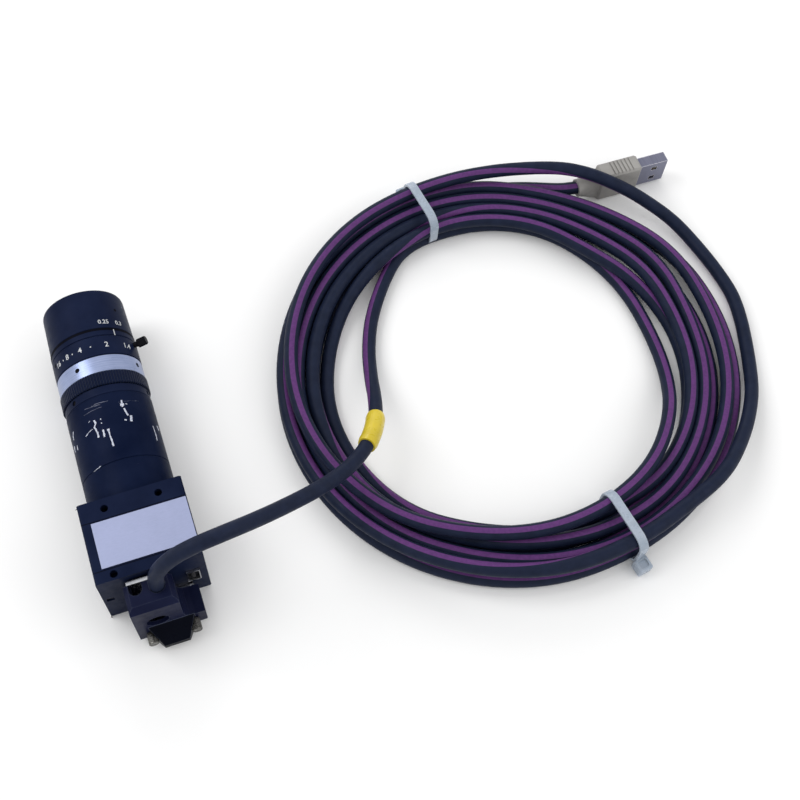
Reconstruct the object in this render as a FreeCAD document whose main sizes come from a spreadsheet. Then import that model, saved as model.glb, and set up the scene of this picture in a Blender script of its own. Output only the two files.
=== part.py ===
"""Machine vision camera with a 25 mm lens on extension tubes and a USB lead wound in a coil.

Frame: +Y is the optical axis and points out of the lens, +X is the camera's right seen from behind,
+Z is up. The origin is the centre of the housing's bottom face. All sizes are in millimetres.
"""
import FreeCAD
import Part
import math
import os
import re
import Sketcher

doc = FreeCAD.newDocument("vision_camera")
Vec = FreeCAD.Vector

# --------------------------------------------------------------------------------------------------
# Driving dimensions
# --------------------------------------------------------------------------------------------------

SIZES = [
    # housing
    ("housing_width", 34.0), ("housing_height", 32.0), ("front_plate_depth", 7.0),
    ("sleeve_depth", 16.6), ("back_plate_depth", 3.9), ("housing_chamfer", 0.6),
    ("sleeve_wall", 1.6), ("optics_bore_radius", 10.6),
    ("front_hole_spacing", 17.5), ("back_hole_spacing", 21.6), ("tapped_hole_radius", 1.25),
    ("front_hole_depth", 5.0), ("back_hole_depth", 4.0),
    ("corner_screw_inset", 2.8), ("corner_screw_radius", 1.0),
    ("corner_head_radius", 1.9), ("corner_head_depth", 2.0), ("corner_socket_radius", 0.85),
    ("corner_thread_depth", 3.0),
    ("label_width", 30.6), ("label_depth", 15.5), ("label_thickness", 0.3), ("label_offset", 1.4),
    ("window_side", 2.4), ("window_offset", 14.7), ("window_recess", 0.5),
    # fits
    ("static_gap", 0.05), ("running_gap", 0.06), ("axial_gap", 0.15), ("seat_gap", 0.1),
    # electronics
    ("board_side_margin", 4.0), ("board_rise_margin", 3.8), ("board_thickness", 1.6),
    ("flange_focus", 12.5), ("sensor_width", 14.2), ("sensor_depth", 2.3), ("sensor_area", 8.6),
    ("sensor_glass_depth", 0.6), ("board_clearance", 0.9), ("spacer_radius", 1.5),
    ("spacer_inset", 2.1), ("link_width", 12.0), ("link_height", 4.0),
    ("filter_radius", 8.4), ("filter_thickness", 1.0), ("filter_holder_depth", 3.0),
    # sockets in the back plate
    ("connector_offset", 1.6), ("connector_rise", 6.85), ("jack_spacing", 14.35),
    ("flange_width", 19.9), ("flange_height", 7.6), ("flange_thickness", 0.9),
    ("socket_body_width", 10.0), ("socket_body_height", 5.4), ("socket_wall", 0.4),
    ("plug_shell_width", 9.0), ("plug_shell_height", 4.0), ("insert_depth", 1.4),
    ("mini_width", 4.4), ("mini_height", 7.9), ("mini_offset", 12.4), ("mini_proud", 0.9),
    ("mini_wall", 0.35),
    # hood on the lead
    ("hood_left", 9.6), ("hood_right", 12.9), ("hood_floor", 2.5), ("hood_top", 29.0),
    ("hood_depth", 9.5), ("ear_top", 11.2), ("ear_inner", 9.5), ("block_right", 5.9),
    ("hood_bevel", 1.5), ("hood_rear_bevel", 2.1), ("hood_wall", 1.4), ("hood_plate_thickness", 1.2),
    ("outlet_spare_offset", 5.9), ("outlet_spare_radius", 2.15), ("outlet_spare_setback", 1.8),
    ("outlet_offset", 0.8), ("outlet_setback", 2.6), ("outlet_depth", 4.0), ("outlet_grip", 1.0),
    ("clamp_collar_radius", 2.85), ("clamp_collar_depth", 1.6),
    ("inlet_radius", 3.7), ("inlet_offset", 2.2), ("inlet_rise", 15.95),
    ("boss_left", 6.0), ("boss_right", 9.2), ("boss_top", 12.1), ("boss_reach", 5.2),
    ("boss_tip_left", 2.6), ("boss_tip_right", 5.8), ("boss_tip_top", 4.8),
    ("jack_shank_radius", 1.08), ("jack_head_radius", 1.65), ("jack_head_length", 4.2),
    ("jack_flute_radius", 0.16), ("jack_flutes", 20.0), ("jack_slot_width", 0.5),
    ("jack_slot_depth", 0.9), ("jack_post_radius", 1.9), ("jack_post_depth", 3.2),
    # extension tubes
    ("thread_radius", 12.55), ("thread_length", 4.3), ("tube_radius", 14.75),
    ("lower_tube_length", 12.1), ("upper_tube_length", 25.1), ("lock_ring_length", 3.4),
    ("lock_ring_radius", 14.6), ("neck_radius", 13.6), ("adapter_length", 4.9),
    ("adapter_radius", 15.15), ("knurl_depth", 0.3), ("knurl_teeth", 72.0),
    ("seam_chamfer", 0.25), ("set_screw_radius", 0.8),
    # lens
    ("mount_ring_length", 6.5), ("mount_ring_radius", 14.85), ("barrel_radius", 13.1),
    ("barrel_wall", 1.2), ("iris_ring_length", 7.6), ("iris_ring_radius", 14.9),
    ("index_ring_length", 2.8), ("index_ring_radius", 14.8), ("focus_ring_length", 16.6),
    ("focus_rear_radius", 14.7), ("focus_front_radius", 14.3), ("focus_rim", 1.2),
    ("barrel_nose", 5.6), ("cell_recess", 1.5), ("cell_head_length", 6.8), ("cell_skirt", 10.4),
    ("cell_skirt_wall", 1.25), ("filter_thread_radius", 12.5), ("filter_thread_depth", 2.2),
    ("thread_relief_length", 0.3), ("thread_relief_depth", 0.15),
    ("front_glass_radius", 10.1), ("front_glass_edge", 2.8), ("front_glass_sag", 1.1),
    ("retainer_radius", 11.15), ("retainer_depth", 1.1), ("retainer_bore", 9.5),
    ("middle_glass_edge", 3.0), ("rear_glass_edge", 3.2), ("glass_bow", 0.9),
    ("diaphragm_thickness", 1.0), ("diaphragm_opening", 5.2),
    ("lock_screw_angle", 72.0), ("lock_screw_setback", 1.7), ("lock_shank_radius", 0.75),
    ("lock_collar_radius", 1.0), ("lock_head_radius", 1.35), ("lock_head_length", 3.4),
    ("lock_collar_length", 1.3),
    # lead, coil and ties
    ("cord_diameter", 5.1), ("sleeve_cover", 0.9), ("sleeve_share", 0.46),
    ("coil_x", 143.6), ("coil_y", 31.7), ("coil_edge", 3.8), ("layer_step", 5.2),
    ("layers", 3.0), ("tie_thickness", 1.2), ("tie_width", 3.6), ("tie_bend", 4.0),
    ("tie_head_length", 5.0), ("tie_head_width", 5.2), ("tie_head_height", 4.6),
    ("tie_head_rise", 3.0), ("tie_bite", 0.3), ("upper_tie_angle", 98.0), ("upper_tie_inner", 61.4),
    ("upper_tie_outer", 81.5), ("lower_tie_angle", -81.0), ("lower_tie_inner", 62.8),
    ("lower_tie_outer", 84.5),
    # USB plug, standing on its narrow edge
    ("plug_x", 223.5), ("plug_y", 95.4), ("grip_length", 17.5), ("grip_width", 15.0),
    ("grip_thickness", 7.4), ("grip_chamfer", 0.8), ("grip_taper", 8.6), ("relief_radius", 3.6),
    ("rib_count", 6.0), ("rib_pitch", 1.6), ("rib_width", 0.6), ("rib_depth", 0.45),
    ("rib_setback", 4.2), ("shell_length", 12.0), ("shell_width", 12.0), ("shell_height", 4.5),
    ("shell_wall", 0.35), ("shell_inside", 8.0), ("latch_length", 2.4), ("latch_width", 2.0),
    ("latch_setback", 5.4), ("latch_spacing", 5.8), ("tongue_thickness", 1.9),
    ("tongue_setback", 1.0), ("contact_width", 1.0), ("contact_pitch", 2.3),
    ("contact_thickness", 0.2), ("contact_setback", 1.5),
]

sheet = doc.addObject("Spreadsheet::Sheet", "Sizes")
for row, (alias, size) in enumerate(SIZES, start=1):
    sheet.set("A%d" % row, alias)
    sheet.set("B%d" % row, str(size))
    sheet.setAlias("B%d" % row, alias)
doc.recompute()

ALIASES = {alias for alias, size in SIZES}

# Places along the optical axis, as expressions of the sizes above.
BACK = "(-(front_plate_depth + sleeve_depth + back_plate_depth) / 2)"
SLEEVE_BACK = "(%s + back_plate_depth)" % BACK
SLEEVE_FRONT = "(%s + sleeve_depth)" % SLEEVE_BACK
FRONT = "(%s + front_plate_depth)" % SLEEVE_FRONT
AXIS = "(housing_height / 2)"
UPPER_TUBE = "(%s + lower_tube_length)" % FRONT
LOCK_RING = "(%s + upper_tube_length)" % UPPER_TUBE
ADAPTER = "(%s + lock_ring_length)" % LOCK_RING
MOUNT_RING = "(%s + adapter_length)" % ADAPTER
IRIS_RING = "(%s + mount_ring_length + axial_gap)" % MOUNT_RING
INDEX_RING = "(%s + iris_ring_length + axial_gap)" % IRIS_RING
FOCUS_RING = "(%s + index_ring_length + axial_gap)" % INDEX_RING
FOCUS_END = "(%s + focus_ring_length)" % FOCUS_RING
CELL_FRONT = "(%s - cell_recess)" % FOCUS_END
CELL_HEAD = "(%s - cell_head_length)" % CELL_FRONT
CELL_REAR = "(%s - cell_skirt)" % CELL_HEAD
SENSOR = "(%s - flange_focus)" % FRONT
SENSOR_BOARD = "(%s - sensor_glass_depth - sensor_depth - board_thickness)" % SENSOR
INTERFACE_BOARD = "(%s + board_clearance)" % SLEEVE_BACK
BOARD_GAP = "(%s - %s - board_thickness)" % (SENSOR_BOARD, INTERFACE_BOARD)
BOARD_WIDTH = "(housing_width - 2 * board_side_margin)"
BOARD_HEIGHT = "(housing_height - 2 * board_rise_margin)"
SOCKET_REACH = "(%s - (%s))" % (INTERFACE_BOARD, BACK)
PLUG_REACH = "(%s - insert_depth)" % SOCKET_REACH
HOOD_FRONT = "(%s - 2 * flange_thickness - 2 * seat_gap)" % BACK
HOOD_BACK = "(%s - hood_depth)" % HOOD_FRONT
THREAD_BORE = "(thread_radius + static_gap)"


# --------------------------------------------------------------------------------------------------
# Helpers: each takes sizes as expressions, binds them to the sheet and returns the new object
# --------------------------------------------------------------------------------------------------

def value(expression):
    """Number that an expression of sizes stands for now."""
    return float(sheet.evalExpression(str(expression)))


def bound(expression):
    """The same expression, written for an object outside the sheet."""
    return re.sub(r"[a-z][a-z_]*", lambda word: "Sizes." + word.group()
                  if word.group() in ALIASES else word.group(), str(expression))


def place(item, x="0", y="0", z="0"):
    """Bind an object's place to three expressions."""
    item.Placement.Base = Vec(value(x), value(y), value(z))
    for axis, expression in zip("xyz", (x, y, z)):
        item.setExpression("Placement.Base." + axis, bound(expression))
    return item


def origin_plane(body, role):
    """One of a body's own origin planes."""
    return next(item for item in body.Origin.OriginFeatures if item.Role == role)


def new_body(label):
    """Empty PartDesign body whose label names its file."""
    body = doc.addObject("PartDesign::Body", label)
    body.Label = label
    return body


def new_sketch(body, role, name):
    """Sketch on one of the body's origin planes."""
    sketch = body.newObject("Sketcher::SketchObject", body.Name + "_" + name)
    sketch.AttachmentSupport = (origin_plane(body, role), [""])
    sketch.MapMode = "FlatFace"
    return sketch


def pin_point(sketch, line, end, x, y):
    """Hold one end of a sketch line at a place given by two expressions."""
    for kind, expression in (("DistanceX", x), ("DistanceY", y)):
        rule = Sketcher.Constraint(kind, -1, 1, line, end, value(expression))
        index = sketch.addConstraint(rule)
        sketch.setExpression("Constraints[%d]" % index, bound(expression))


def draw_outline(sketch, points):
    """Closed outline of straight lines through points given as pairs of expressions."""
    first = sketch.GeometryCount
    places = [Vec(value(x), value(y), 0) for x, y in points]
    count = len(points)
    for index in range(count):
        sketch.addGeometry(Part.LineSegment(places[index], places[(index + 1) % count]), False)
    for index in range(count):
        follower = first + (index + 1) % count
        sketch.addConstraint(Sketcher.Constraint("Coincident", first + index, 2, follower, 1))
        pin_point(sketch, first + index, 1, *points[index])


def chamfered_box(x0, y0, x1, y1, cut):
    """Points of a rectangle with its four corners cut off."""
    def inner(edge, sign):
        return "%s %s %s" % (edge, sign, cut)
    return [(inner(x0, "+"), y0), (inner(x1, "-"), y0), (x1, inner(y0, "+")), (x1, inner(y1, "-")),
            (inner(x1, "-"), y1), (inner(x0, "+"), y1), (x0, inner(y1, "-")), (x0, inner(y0, "+"))]


def pad(body, sketch, length, forwards=True):
    """Pad a sketch on the XZ plane forwards, along +Y, or any sketch along its normal."""
    feature = body.newObject("PartDesign::Pad", sketch.Name + "_pad")
    feature.Profile = sketch
    feature.Length = value(length)
    feature.setExpression("Length", bound(length))
    feature.Reversed = forwards
    return feature


def pocket(body, sketch, length=None, backwards=False):
    """Cut a sketch into the body, through all of it when no length is given."""
    feature = body.newObject("PartDesign::Pocket", sketch.Name + "_pocket")
    feature.Profile = sketch
    feature.Reversed = backwards
    if length is None:
        feature.Type = "ThroughAll"
    else:
        feature.Length = value(length)
        feature.setExpression("Length", bound(length))
    return feature


def turned(label, points, y, x="0", z=AXIS):
    """Piece turned on a lathe: an outline of (radius, distance) pairs about the optical direction."""
    body = new_body(label)
    sketch = new_sketch(body, "XY_Plane", "outline")
    draw_outline(sketch, points)
    feature = body.newObject("PartDesign::Revolution", label + "_turning")
    feature.Profile = sketch
    feature.ReferenceAxis = (sketch, ["V_Axis"])
    feature.Angle = 360.0
    return place(body, x, y, z)


def box(name, size, corner):
    """Plain block from its size and its lowest corner."""
    item = doc.addObject("Part::Box", name)
    for side, expression in zip(("Length", "Width", "Height"), size):
        setattr(item, side, value(expression))
        item.setExpression(side, bound(expression))
    return place(item, *corner)


TURNS = {"x": FreeCAD.Rotation(Vec(0, 0, 1), Vec(1, 0, 0)), "y": FreeCAD.Rotation(Vec(0, 0, 1), Vec(0, 1, 0)),
         "z": FreeCAD.Rotation()}


def cylinder(name, radius, length, start, axis="y"):
    """Plain round bar that starts at a point and runs along one axis."""
    item = doc.addObject("Part::Cylinder", name)
    item.Radius = value(radius)
    item.setExpression("Radius", bound(radius))
    item.Height = value(length)
    item.setExpression("Height", bound(length))
    item.Placement.Rotation = TURNS[axis]
    return place(item, *start)


def joined(label, items):
    """Several solids in one piece, or one group of separate solids."""
    item = doc.addObject("Part::MultiFuse", label)
    item.Shapes = items
    item.Label = label
    return item


def cut(label, base, tools):
    """Base with every tool cut out of it."""
    item = doc.addObject("Part::Cut", label)
    item.Base = base
    item.Tool = tools[0] if len(tools) == 1 else joined(label + "_tools", tools)
    item.Label = label
    return item


def named(label, item):
    """Give an object the label that names its file."""
    item.Label = label
    return item


# --------------------------------------------------------------------------------------------------
# Housing
# --------------------------------------------------------------------------------------------------

HALF_WIDTH = "(housing_width / 2)"
SIDES = ("-", "")


def housing_block(label, depth, y):
    """Rectangular housing slice with its long edges chamfered."""
    body = new_body(label)
    sketch = new_sketch(body, "XZ_Plane", "outline")
    draw_outline(sketch, chamfered_box("0", "0", "housing_width", "housing_height",
                                       "housing_chamfer"))
    pad(body, sketch, depth)
    return place(body, "-housing_width / 2", y, "0")


def corner_places():
    """The four housing screws, as pairs of expressions across and up."""
    return [("%s(housing_width / 2 - corner_screw_inset)" % side,
             "%s %s (housing_height / 2 - corner_screw_inset)" % (AXIS, rise))
            for side in SIDES for rise in ("-", "+")]


def tapped_holes(name, top_spacing, bottom_spacing, y, depth):
    """Pair of tapped holes sunk from the top face, and a pair in the bottom face."""
    holes = []
    for index, side in enumerate(SIDES):
        holes.append(cylinder("%s_top_%d" % (name, index), "tapped_hole_radius", depth + " + 1",
                              ("%s%s / 2" % (side, top_spacing), y, "housing_height - " + depth), "z"))
        holes.append(cylinder("%s_bottom_%d" % (name, index), "tapped_hole_radius", depth + " + 1",
                              ("%s%s / 2" % (side, bottom_spacing), y, "-1"), "z"))
    return holes


def build_front_plate():
    """Front plate: lens thread, light bore, tapped holes and the housing screws' counterbores."""
    block = housing_block("front_plate_block", "front_plate_depth", SLEEVE_FRONT)
    tools = tapped_holes("front_hole", "front_hole_spacing", "front_hole_spacing",
                         FRONT + " - front_plate_depth / 2", "front_hole_depth")
    tools.append(cylinder("light_bore", "optics_bore_radius", "front_plate_depth + 2",
                          ("0", SLEEVE_FRONT + " - 1", AXIS)))
    tools.append(cylinder("mount_thread", THREAD_BORE, "thread_length + 1 + seat_gap",
                          ("0", FRONT + " - thread_length - seat_gap", AXIS)))
    for index, (x, z) in enumerate(corner_places()):
        tools.append(cylinder("screw_way_%d" % index, "corner_screw_radius + seat_gap",
                              "front_plate_depth + 2", (x, SLEEVE_FRONT + " - 1", z)))
        tools.append(cylinder("screw_sink_%d" % index, "corner_head_radius + seat_gap",
                              "corner_head_depth + 1 + seat_gap",
                              (x, FRONT + " - corner_head_depth - seat_gap", z)))
    return cut("front_plate", block, tools)


def build_housing_sleeve():
    """Sleeve: a rectangular tube between the two plates."""
    body = housing_block("housing_sleeve", "sleeve_depth", SLEEVE_BACK)
    hollow = new_sketch(body, "XZ_Plane", "hollow")
    draw_outline(hollow, chamfered_box("sleeve_wall", "sleeve_wall", "housing_width - sleeve_wall",
                                       "housing_height - sleeve_wall", "housing_chamfer"))
    pocket(body, hollow)
    return body


def build_back_plate():
    """Back plate: openings for both sockets, the window, tapped holes and the screws' threads."""
    block = housing_block("back_plate_block", "back_plate_depth", BACK)
    tools = tapped_holes("back_hole", "back_hole_spacing", "front_hole_spacing",
                         BACK + " + back_plate_depth / 2", "back_hole_depth")
    tools.append(box("socket_opening",
                     ("socket_body_width + 2 * seat_gap", "back_plate_depth + 2",
                      "socket_body_height + 2 * seat_gap"),
                     ("connector_offset - socket_body_width / 2 - seat_gap", BACK + " - 1",
                      "connector_rise - socket_body_height / 2 - seat_gap")))
    tools.append(box("mini_opening",
                     ("mini_width + 2 * seat_gap", "back_plate_depth + 2",
                      "mini_height + 2 * seat_gap"),
                     ("mini_offset - mini_width / 2 - seat_gap", BACK + " - 1",
                      AXIS + " - mini_height / 2 - seat_gap")))
    tools.append(box("window_opening",
                     ("window_side + 2 * static_gap", "back_plate_depth + 2",
                      "window_side + 2 * static_gap"),
                     ("-window_offset - window_side / 2 - static_gap", BACK + " - 1",
                      AXIS + " - window_side / 2 - static_gap")))
    for index, (x, z) in enumerate(corner_places()):
        tools.append(cylinder("screw_end_%d" % index, "corner_screw_radius + static_gap",
                              "corner_thread_depth + 1",
                              (x, SLEEVE_BACK + " - corner_thread_depth", z)))
    for index, side in enumerate(("-", "+")):
        tools.append(cylinder("post_way_%d" % index, "jack_post_radius + static_gap",
                              "jack_post_depth + 1",
                              ("connector_offset %s jack_spacing / 2" % side, BACK + " - 1",
                               "connector_rise")))
    return cut("back_plate", block, tools)


def build_housing_screws():
    """Four long socket-head screws that clamp the plates on the sleeve."""
    screws = []
    reach = "front_plate_depth + sleeve_depth + corner_thread_depth - corner_head_depth - 3 * seat_gap"
    for index, (x, z) in enumerate(corner_places()):
        shank = cylinder("screw_shank_%d" % index, "corner_screw_radius", reach,
                         (x, "%s - corner_head_depth - (%s)" % (FRONT, reach), z))
        head = cylinder("screw_head_%d" % index, "corner_head_radius", "corner_head_depth",
                        (x, FRONT + " - corner_head_depth", z))
        bar = joined("screw_bar_%d" % index, [shank, head])
        socket = cylinder("screw_socket_%d" % index, "corner_socket_radius", "corner_head_depth",
                          (x, FRONT + " - corner_head_depth / 2", z))
        screws.append(cut("screw_%d" % index, bar, [socket]))
    return joined("housing_screws", screws)


def build_label_plate():
    """Bare metal label plate stuck on the sleeve's top."""
    return named("label_plate", box(
        "label_plate", ("label_width", "label_depth", "label_thickness"),
        ("label_offset - label_width / 2",
         "%s + (sleeve_depth - label_depth) / 2" % SLEEVE_BACK, "housing_height")))


def build_status_window():
    """Light guide for the status lamp."""
    return named("status_window", box(
        "status_window", ("window_side", "back_plate_depth - window_recess", "window_side"),
        ("-window_offset - window_side / 2", BACK + " + window_recess",
         AXIS + " - window_side / 2")))


# --------------------------------------------------------------------------------------------------
# Electronics inside the housing
# --------------------------------------------------------------------------------------------------

def board(label, y):
    """Printed circuit board standing across the housing."""
    return named(label, box(label, (BOARD_WIDTH, "board_thickness", BOARD_HEIGHT),
                            ("-%s / 2" % BOARD_WIDTH, y, "%s - %s / 2" % (AXIS, BOARD_HEIGHT))))


def build_board_spacers():
    """Posts that carry both boards from the front plate."""
    posts = []
    for side in SIDES:
        for rise in ("-", "+"):
            x = "%s(%s / 2 - spacer_inset)" % (side, BOARD_WIDTH)
            z = "%s %s (%s / 2 - spacer_inset)" % (AXIS, rise, BOARD_HEIGHT)
            number = len(posts)
            posts.append(cylinder("spacer_front_%d" % number, "spacer_radius",
                                  "%s - %s - board_thickness" % (SLEEVE_FRONT, SENSOR_BOARD),
                                  (x, SENSOR_BOARD + " + board_thickness", z)))
            posts.append(cylinder("spacer_rear_%d" % number, "spacer_radius",
                                  BOARD_GAP,
                                  (x, INTERFACE_BOARD + " + board_thickness", z)))
    return joined("board_spacers", posts)


def build_board_link():
    """Connector that joins the two boards."""
    return named("board_link", box(
        "board_link", ("link_width", BOARD_GAP, "link_height"),
        ("-link_width / 2", INTERFACE_BOARD + " + board_thickness",
         "%s - %s / 2 + 1" % (AXIS, BOARD_HEIGHT))))


def build_image_sensor():
    """Ceramic sensor package with a well for the light-sensitive area."""
    block = box("sensor_block", ("sensor_width", "sensor_depth", "sensor_width"),
                ("-sensor_width / 2", SENSOR_BOARD + " + board_thickness",
                 AXIS + " - sensor_width / 2"))
    well = box("sensor_well", ("sensor_area", "sensor_depth", "sensor_area"),
               ("-sensor_area / 2", SENSOR_BOARD + " + board_thickness + sensor_depth / 2",
                AXIS + " - sensor_area / 2"))
    return cut("image_sensor", block, [well])


def build_sensor_glass():
    """Cover glass over the sensor's well."""
    return named("sensor_glass", box(
        "sensor_glass", ("sensor_width - 2", "sensor_glass_depth", "sensor_width - 2"),
        ("1 - sensor_width / 2", SENSOR + " - sensor_glass_depth",
         AXIS + " - sensor_width / 2 + 1")))


def build_filter():
    """Holder behind the front plate and the infrared filter in it."""
    start = "%s - filter_holder_depth" % SLEEVE_FRONT
    rim = "filter_radius + static_gap"
    holder = turned("filter_holder", [
        ("filter_radius - 1", "0"), ("optics_bore_radius + 1", "0"),
        ("optics_bore_radius + 1", "filter_holder_depth"), (rim, "filter_holder_depth"),
        (rim, "filter_holder_depth / 3"), ("filter_radius - 1", "filter_holder_depth / 3")], start)
    glass = named("infrared_filter", cylinder(
        "infrared_filter", "filter_radius", "filter_thickness",
        ("0", start + " + filter_holder_depth / 3 + static_gap", AXIS)))
    return [holder, glass]


# --------------------------------------------------------------------------------------------------
# Sockets
# --------------------------------------------------------------------------------------------------

def jack_places():
    """The two jack screws, across the camera."""
    return ["connector_offset - jack_spacing / 2", "connector_offset + jack_spacing / 2"]


def flange(name, y, opening_width, opening_height):
    """Flat connector flange with its two screw holes and the opening for its body."""
    plate = box(name + "_plate", ("flange_width", "flange_thickness", "flange_height"),
                ("connector_offset - flange_width / 2", y, "connector_rise - flange_height / 2"))
    tools = [cylinder("%s_hole_%d" % (name, index), "jack_shank_radius + running_gap",
                      "flange_thickness + 2", (x, y + " - 1", "connector_rise"))
             for index, x in enumerate(jack_places())]
    tools.append(box(name + "_opening",
                     (opening_width, "flange_thickness + 2", opening_height),
                     ("connector_offset - (%s) / 2" % opening_width, y + " - 1",
                      "connector_rise - (%s) / 2" % opening_height)))
    return plate, tools


def shell_tube(name, width, height, wall, start, length):
    """Rectangular metal tube of a connector, centred on the connector."""
    outer = box(name + "_outer", (width, length, height),
                ("connector_offset - (%s) / 2" % width, start, "connector_rise - (%s) / 2" % height))
    inner = box(name + "_inner",
                ("%s - 2 * (%s)" % (width, wall), "%s + 2" % length,
                 "%s - 2 * (%s)" % (height, wall)),
                ("connector_offset - (%s) / 2 + %s" % (width, wall), "%s - 1" % start,
                 "connector_rise - (%s) / 2 + %s" % (height, wall)))
    return outer, inner


def build_camera_connector():
    """Nine-way receptacle: flanged shell and the insulator with its contact wells."""
    plate, holes = flange("receptacle", "(%s - flange_thickness)" % BACK,
                          "socket_body_width - 2 * socket_wall",
                          "socket_body_height - 2 * socket_wall")
    outer, inner = shell_tube("receptacle_tube", "socket_body_width", "socket_body_height",
                              "socket_wall", "(%s)" % BACK, SOCKET_REACH)
    shell = cut("receptacle_shell", joined("receptacle_blank", [plate, outer]), holes + [inner])
    core_start = "(%s + %s)" % (BACK, PLUG_REACH)
    core = box("receptacle_core",
               ("socket_body_width - 2 * socket_wall - 2 * static_gap", "insert_depth",
                "socket_body_height - 2 * socket_wall - 2 * static_gap"),
               ("connector_offset - socket_body_width / 2 + socket_wall + static_gap", core_start,
                "connector_rise - socket_body_height / 2 + socket_wall + static_gap"))
    wells = []
    for index in range(9):
        upper = index < 5
        across = (index - 2) * 1.27 if upper else (index - 6.5) * 1.27
        rise = 0.55 if upper else -0.55
        wells.append(cylinder("contact_well_%d" % index, "0.3", "1",
                              ("connector_offset + %.3f" % across, core_start + " - 0.2",
                               "connector_rise + %.2f" % rise)))
    return [shell, cut("receptacle_insert", core, wells)]


def build_jack_posts():
    """Threaded posts in the back plate that take the jack screws."""
    posts = []
    for index, x in enumerate(jack_places()):
        post = cylinder("post_%d" % index, "jack_post_radius", "jack_post_depth",
                        (x, BACK, "connector_rise"))
        bore = cylinder("post_bore_%d" % index, "jack_shank_radius + running_gap",
                        "jack_post_depth + 2", (x, BACK + " - 1", "connector_rise"))
        posts.append(cut("jack_post_%d" % index, post, [bore]))
    return joined("jack_posts", posts)


def build_mini_socket():
    """Small upright USB socket: folded metal shell and the plastic tongue in it."""
    start = BACK + " - mini_proud"
    length = "(mini_proud + (%s) - (%s))" % (INTERFACE_BOARD, BACK)
    corner = "mini_offset - mini_width / 2"
    rise = AXIS + " - mini_height / 2"
    outer = box("mini_outer", ("mini_width", length, "mini_height"), (corner, start, rise))
    inner = box("mini_inner", ("mini_width - 2 * mini_wall", length, "mini_height - 2 * mini_wall"),
                (corner + " + mini_wall", start + " - mini_wall", rise + " + mini_wall"))
    tongue = box("mini_tongue", ("mini_width / 4", length + " - 1", "mini_height * 0.7"),
                 ("mini_offset - mini_width / 8", start + " + 1 - mini_wall",
                  AXIS + " - mini_height * 0.35"))
    return [cut("mini_socket", outer, [inner]), named("mini_socket_tongue", tongue)]


# --------------------------------------------------------------------------------------------------
# Hood, cable connector and jack screws
# --------------------------------------------------------------------------------------------------

def build_hood():
    """Moulded hood: tall block for the turned-up lead, low ear, and the ways through it."""
    body = new_body("hood_blank")
    sketch = new_sketch(body, "XZ_Plane", "outline")
    left = "0"
    right = "hood_left + hood_right"
    block = "hood_left + block_right"
    ear = "hood_left + ear_inner"
    fillet = "(ear_inner - block_right)"
    points = [(left, "0"), (right, "0"), (right, "ear_top - hood_floor"),
              (ear, "ear_top - hood_floor")]
    for step in (30, 60):
        points.append(("%s - %s * %.4f" % (ear, fillet, math.sin(math.radians(step))),
                       "ear_top - hood_floor + %s * %.4f" % (fillet,
                                                             1 - math.cos(math.radians(step)))))
    points += [(block, "ear_top - hood_floor + %s" % fillet),
               (block, "hood_top - hood_floor - hood_bevel"),
               (block + " - hood_bevel", "hood_top - hood_floor"),
               ("hood_bevel - 0.2", "hood_top - hood_floor"),
               (left, "hood_top - hood_floor - hood_bevel + 0.2")]
    draw_outline(sketch, points)
    pad(body, sketch, "hood_depth")
    place(body, "-hood_left", HOOD_BACK, "hood_floor")

    bevel = doc.addObject("Part::Wedge", "hood_bevel_tool")
    tool_sizes = {"Xmin": "-hood_left - 1", "Xmax": "hood_right + 1", "X2min": "-hood_left - 1",
                  "X2max": "hood_right + 1", "Ymin": HOOD_BACK + " - 1",
                  "Ymax": HOOD_BACK + " + hood_rear_bevel",
                  "Zmin": "hood_top - hood_rear_bevel - 1", "Zmax": "hood_top + 1",
                  "Z2min": "hood_top", "Z2max": "hood_top + 1"}
    for name, expression in tool_sizes.items():
        setattr(bevel, name, value(expression))
        bevel.setExpression(name, bound(expression))

    cavity_floor = "connector_rise + socket_body_height / 2"
    tools = [bevel,
             box("wire_space", ("hood_left + block_right - 2 * hood_wall - 1.6",
                                "hood_depth - hood_wall",
                                "hood_top - outlet_depth - (%s)" % cavity_floor),
                 ("hood_wall + 0.8 - hood_left", HOOD_BACK + " + hood_wall", cavity_floor)),
             box("connector_space", ("socket_body_width", "hood_depth - hood_wall",
                                     "socket_body_height + 0.2"),
                 ("connector_offset - socket_body_width / 2", HOOD_BACK + " + hood_wall",
                  "connector_rise - socket_body_height / 2 - 0.1")),
             cylinder("rear_inlet", "inlet_radius", "hood_wall + 2",
                      ("-inlet_offset", HOOD_BACK + " - 1", "inlet_rise"))]
    outlets = (("spare", "-outlet_spare_offset", "outlet_spare_radius", "outlet_spare_setback"),
               ("lead", "outlet_offset", "cord_diameter / 2 + static_gap", "outlet_setback"))
    for name, x, radius, setback in outlets:
        floor = "hood_top - outlet_depth - 1"
        tools.append(cylinder(name + "_outlet", radius, "outlet_depth + 2",
                              (x, "%s - %s" % (HOOD_FRONT, setback), floor), "z"))
        tools.append(box(name + "_slot", ("2 * (%s)" % radius, setback, "outlet_depth + 2"),
                         ("%s - (%s)" % (x, radius), "%s - %s" % (HOOD_FRONT, setback), floor)))
    for index, x in enumerate(jack_places()):
        tools.append(cylinder("hood_jack_%d" % index, "jack_shank_radius + running_gap",
                              "hood_depth + 2", (x, HOOD_BACK + " - 1", "connector_rise")))
    return cut("hood", body, tools)


def build_hood_plate():
    """Sheet-metal plate that closes the hood's camera side and holds the lead in its slot."""
    return named("hood_plate", box(
        "hood_plate", ("hood_left + block_right - 2 * hood_bevel + 0.2", "hood_plate_thickness",
                       "hood_top - ear_top - seat_gap"),
        ("hood_bevel - 0.2 - hood_left", HOOD_FRONT, "ear_top + seat_gap")))


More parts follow.
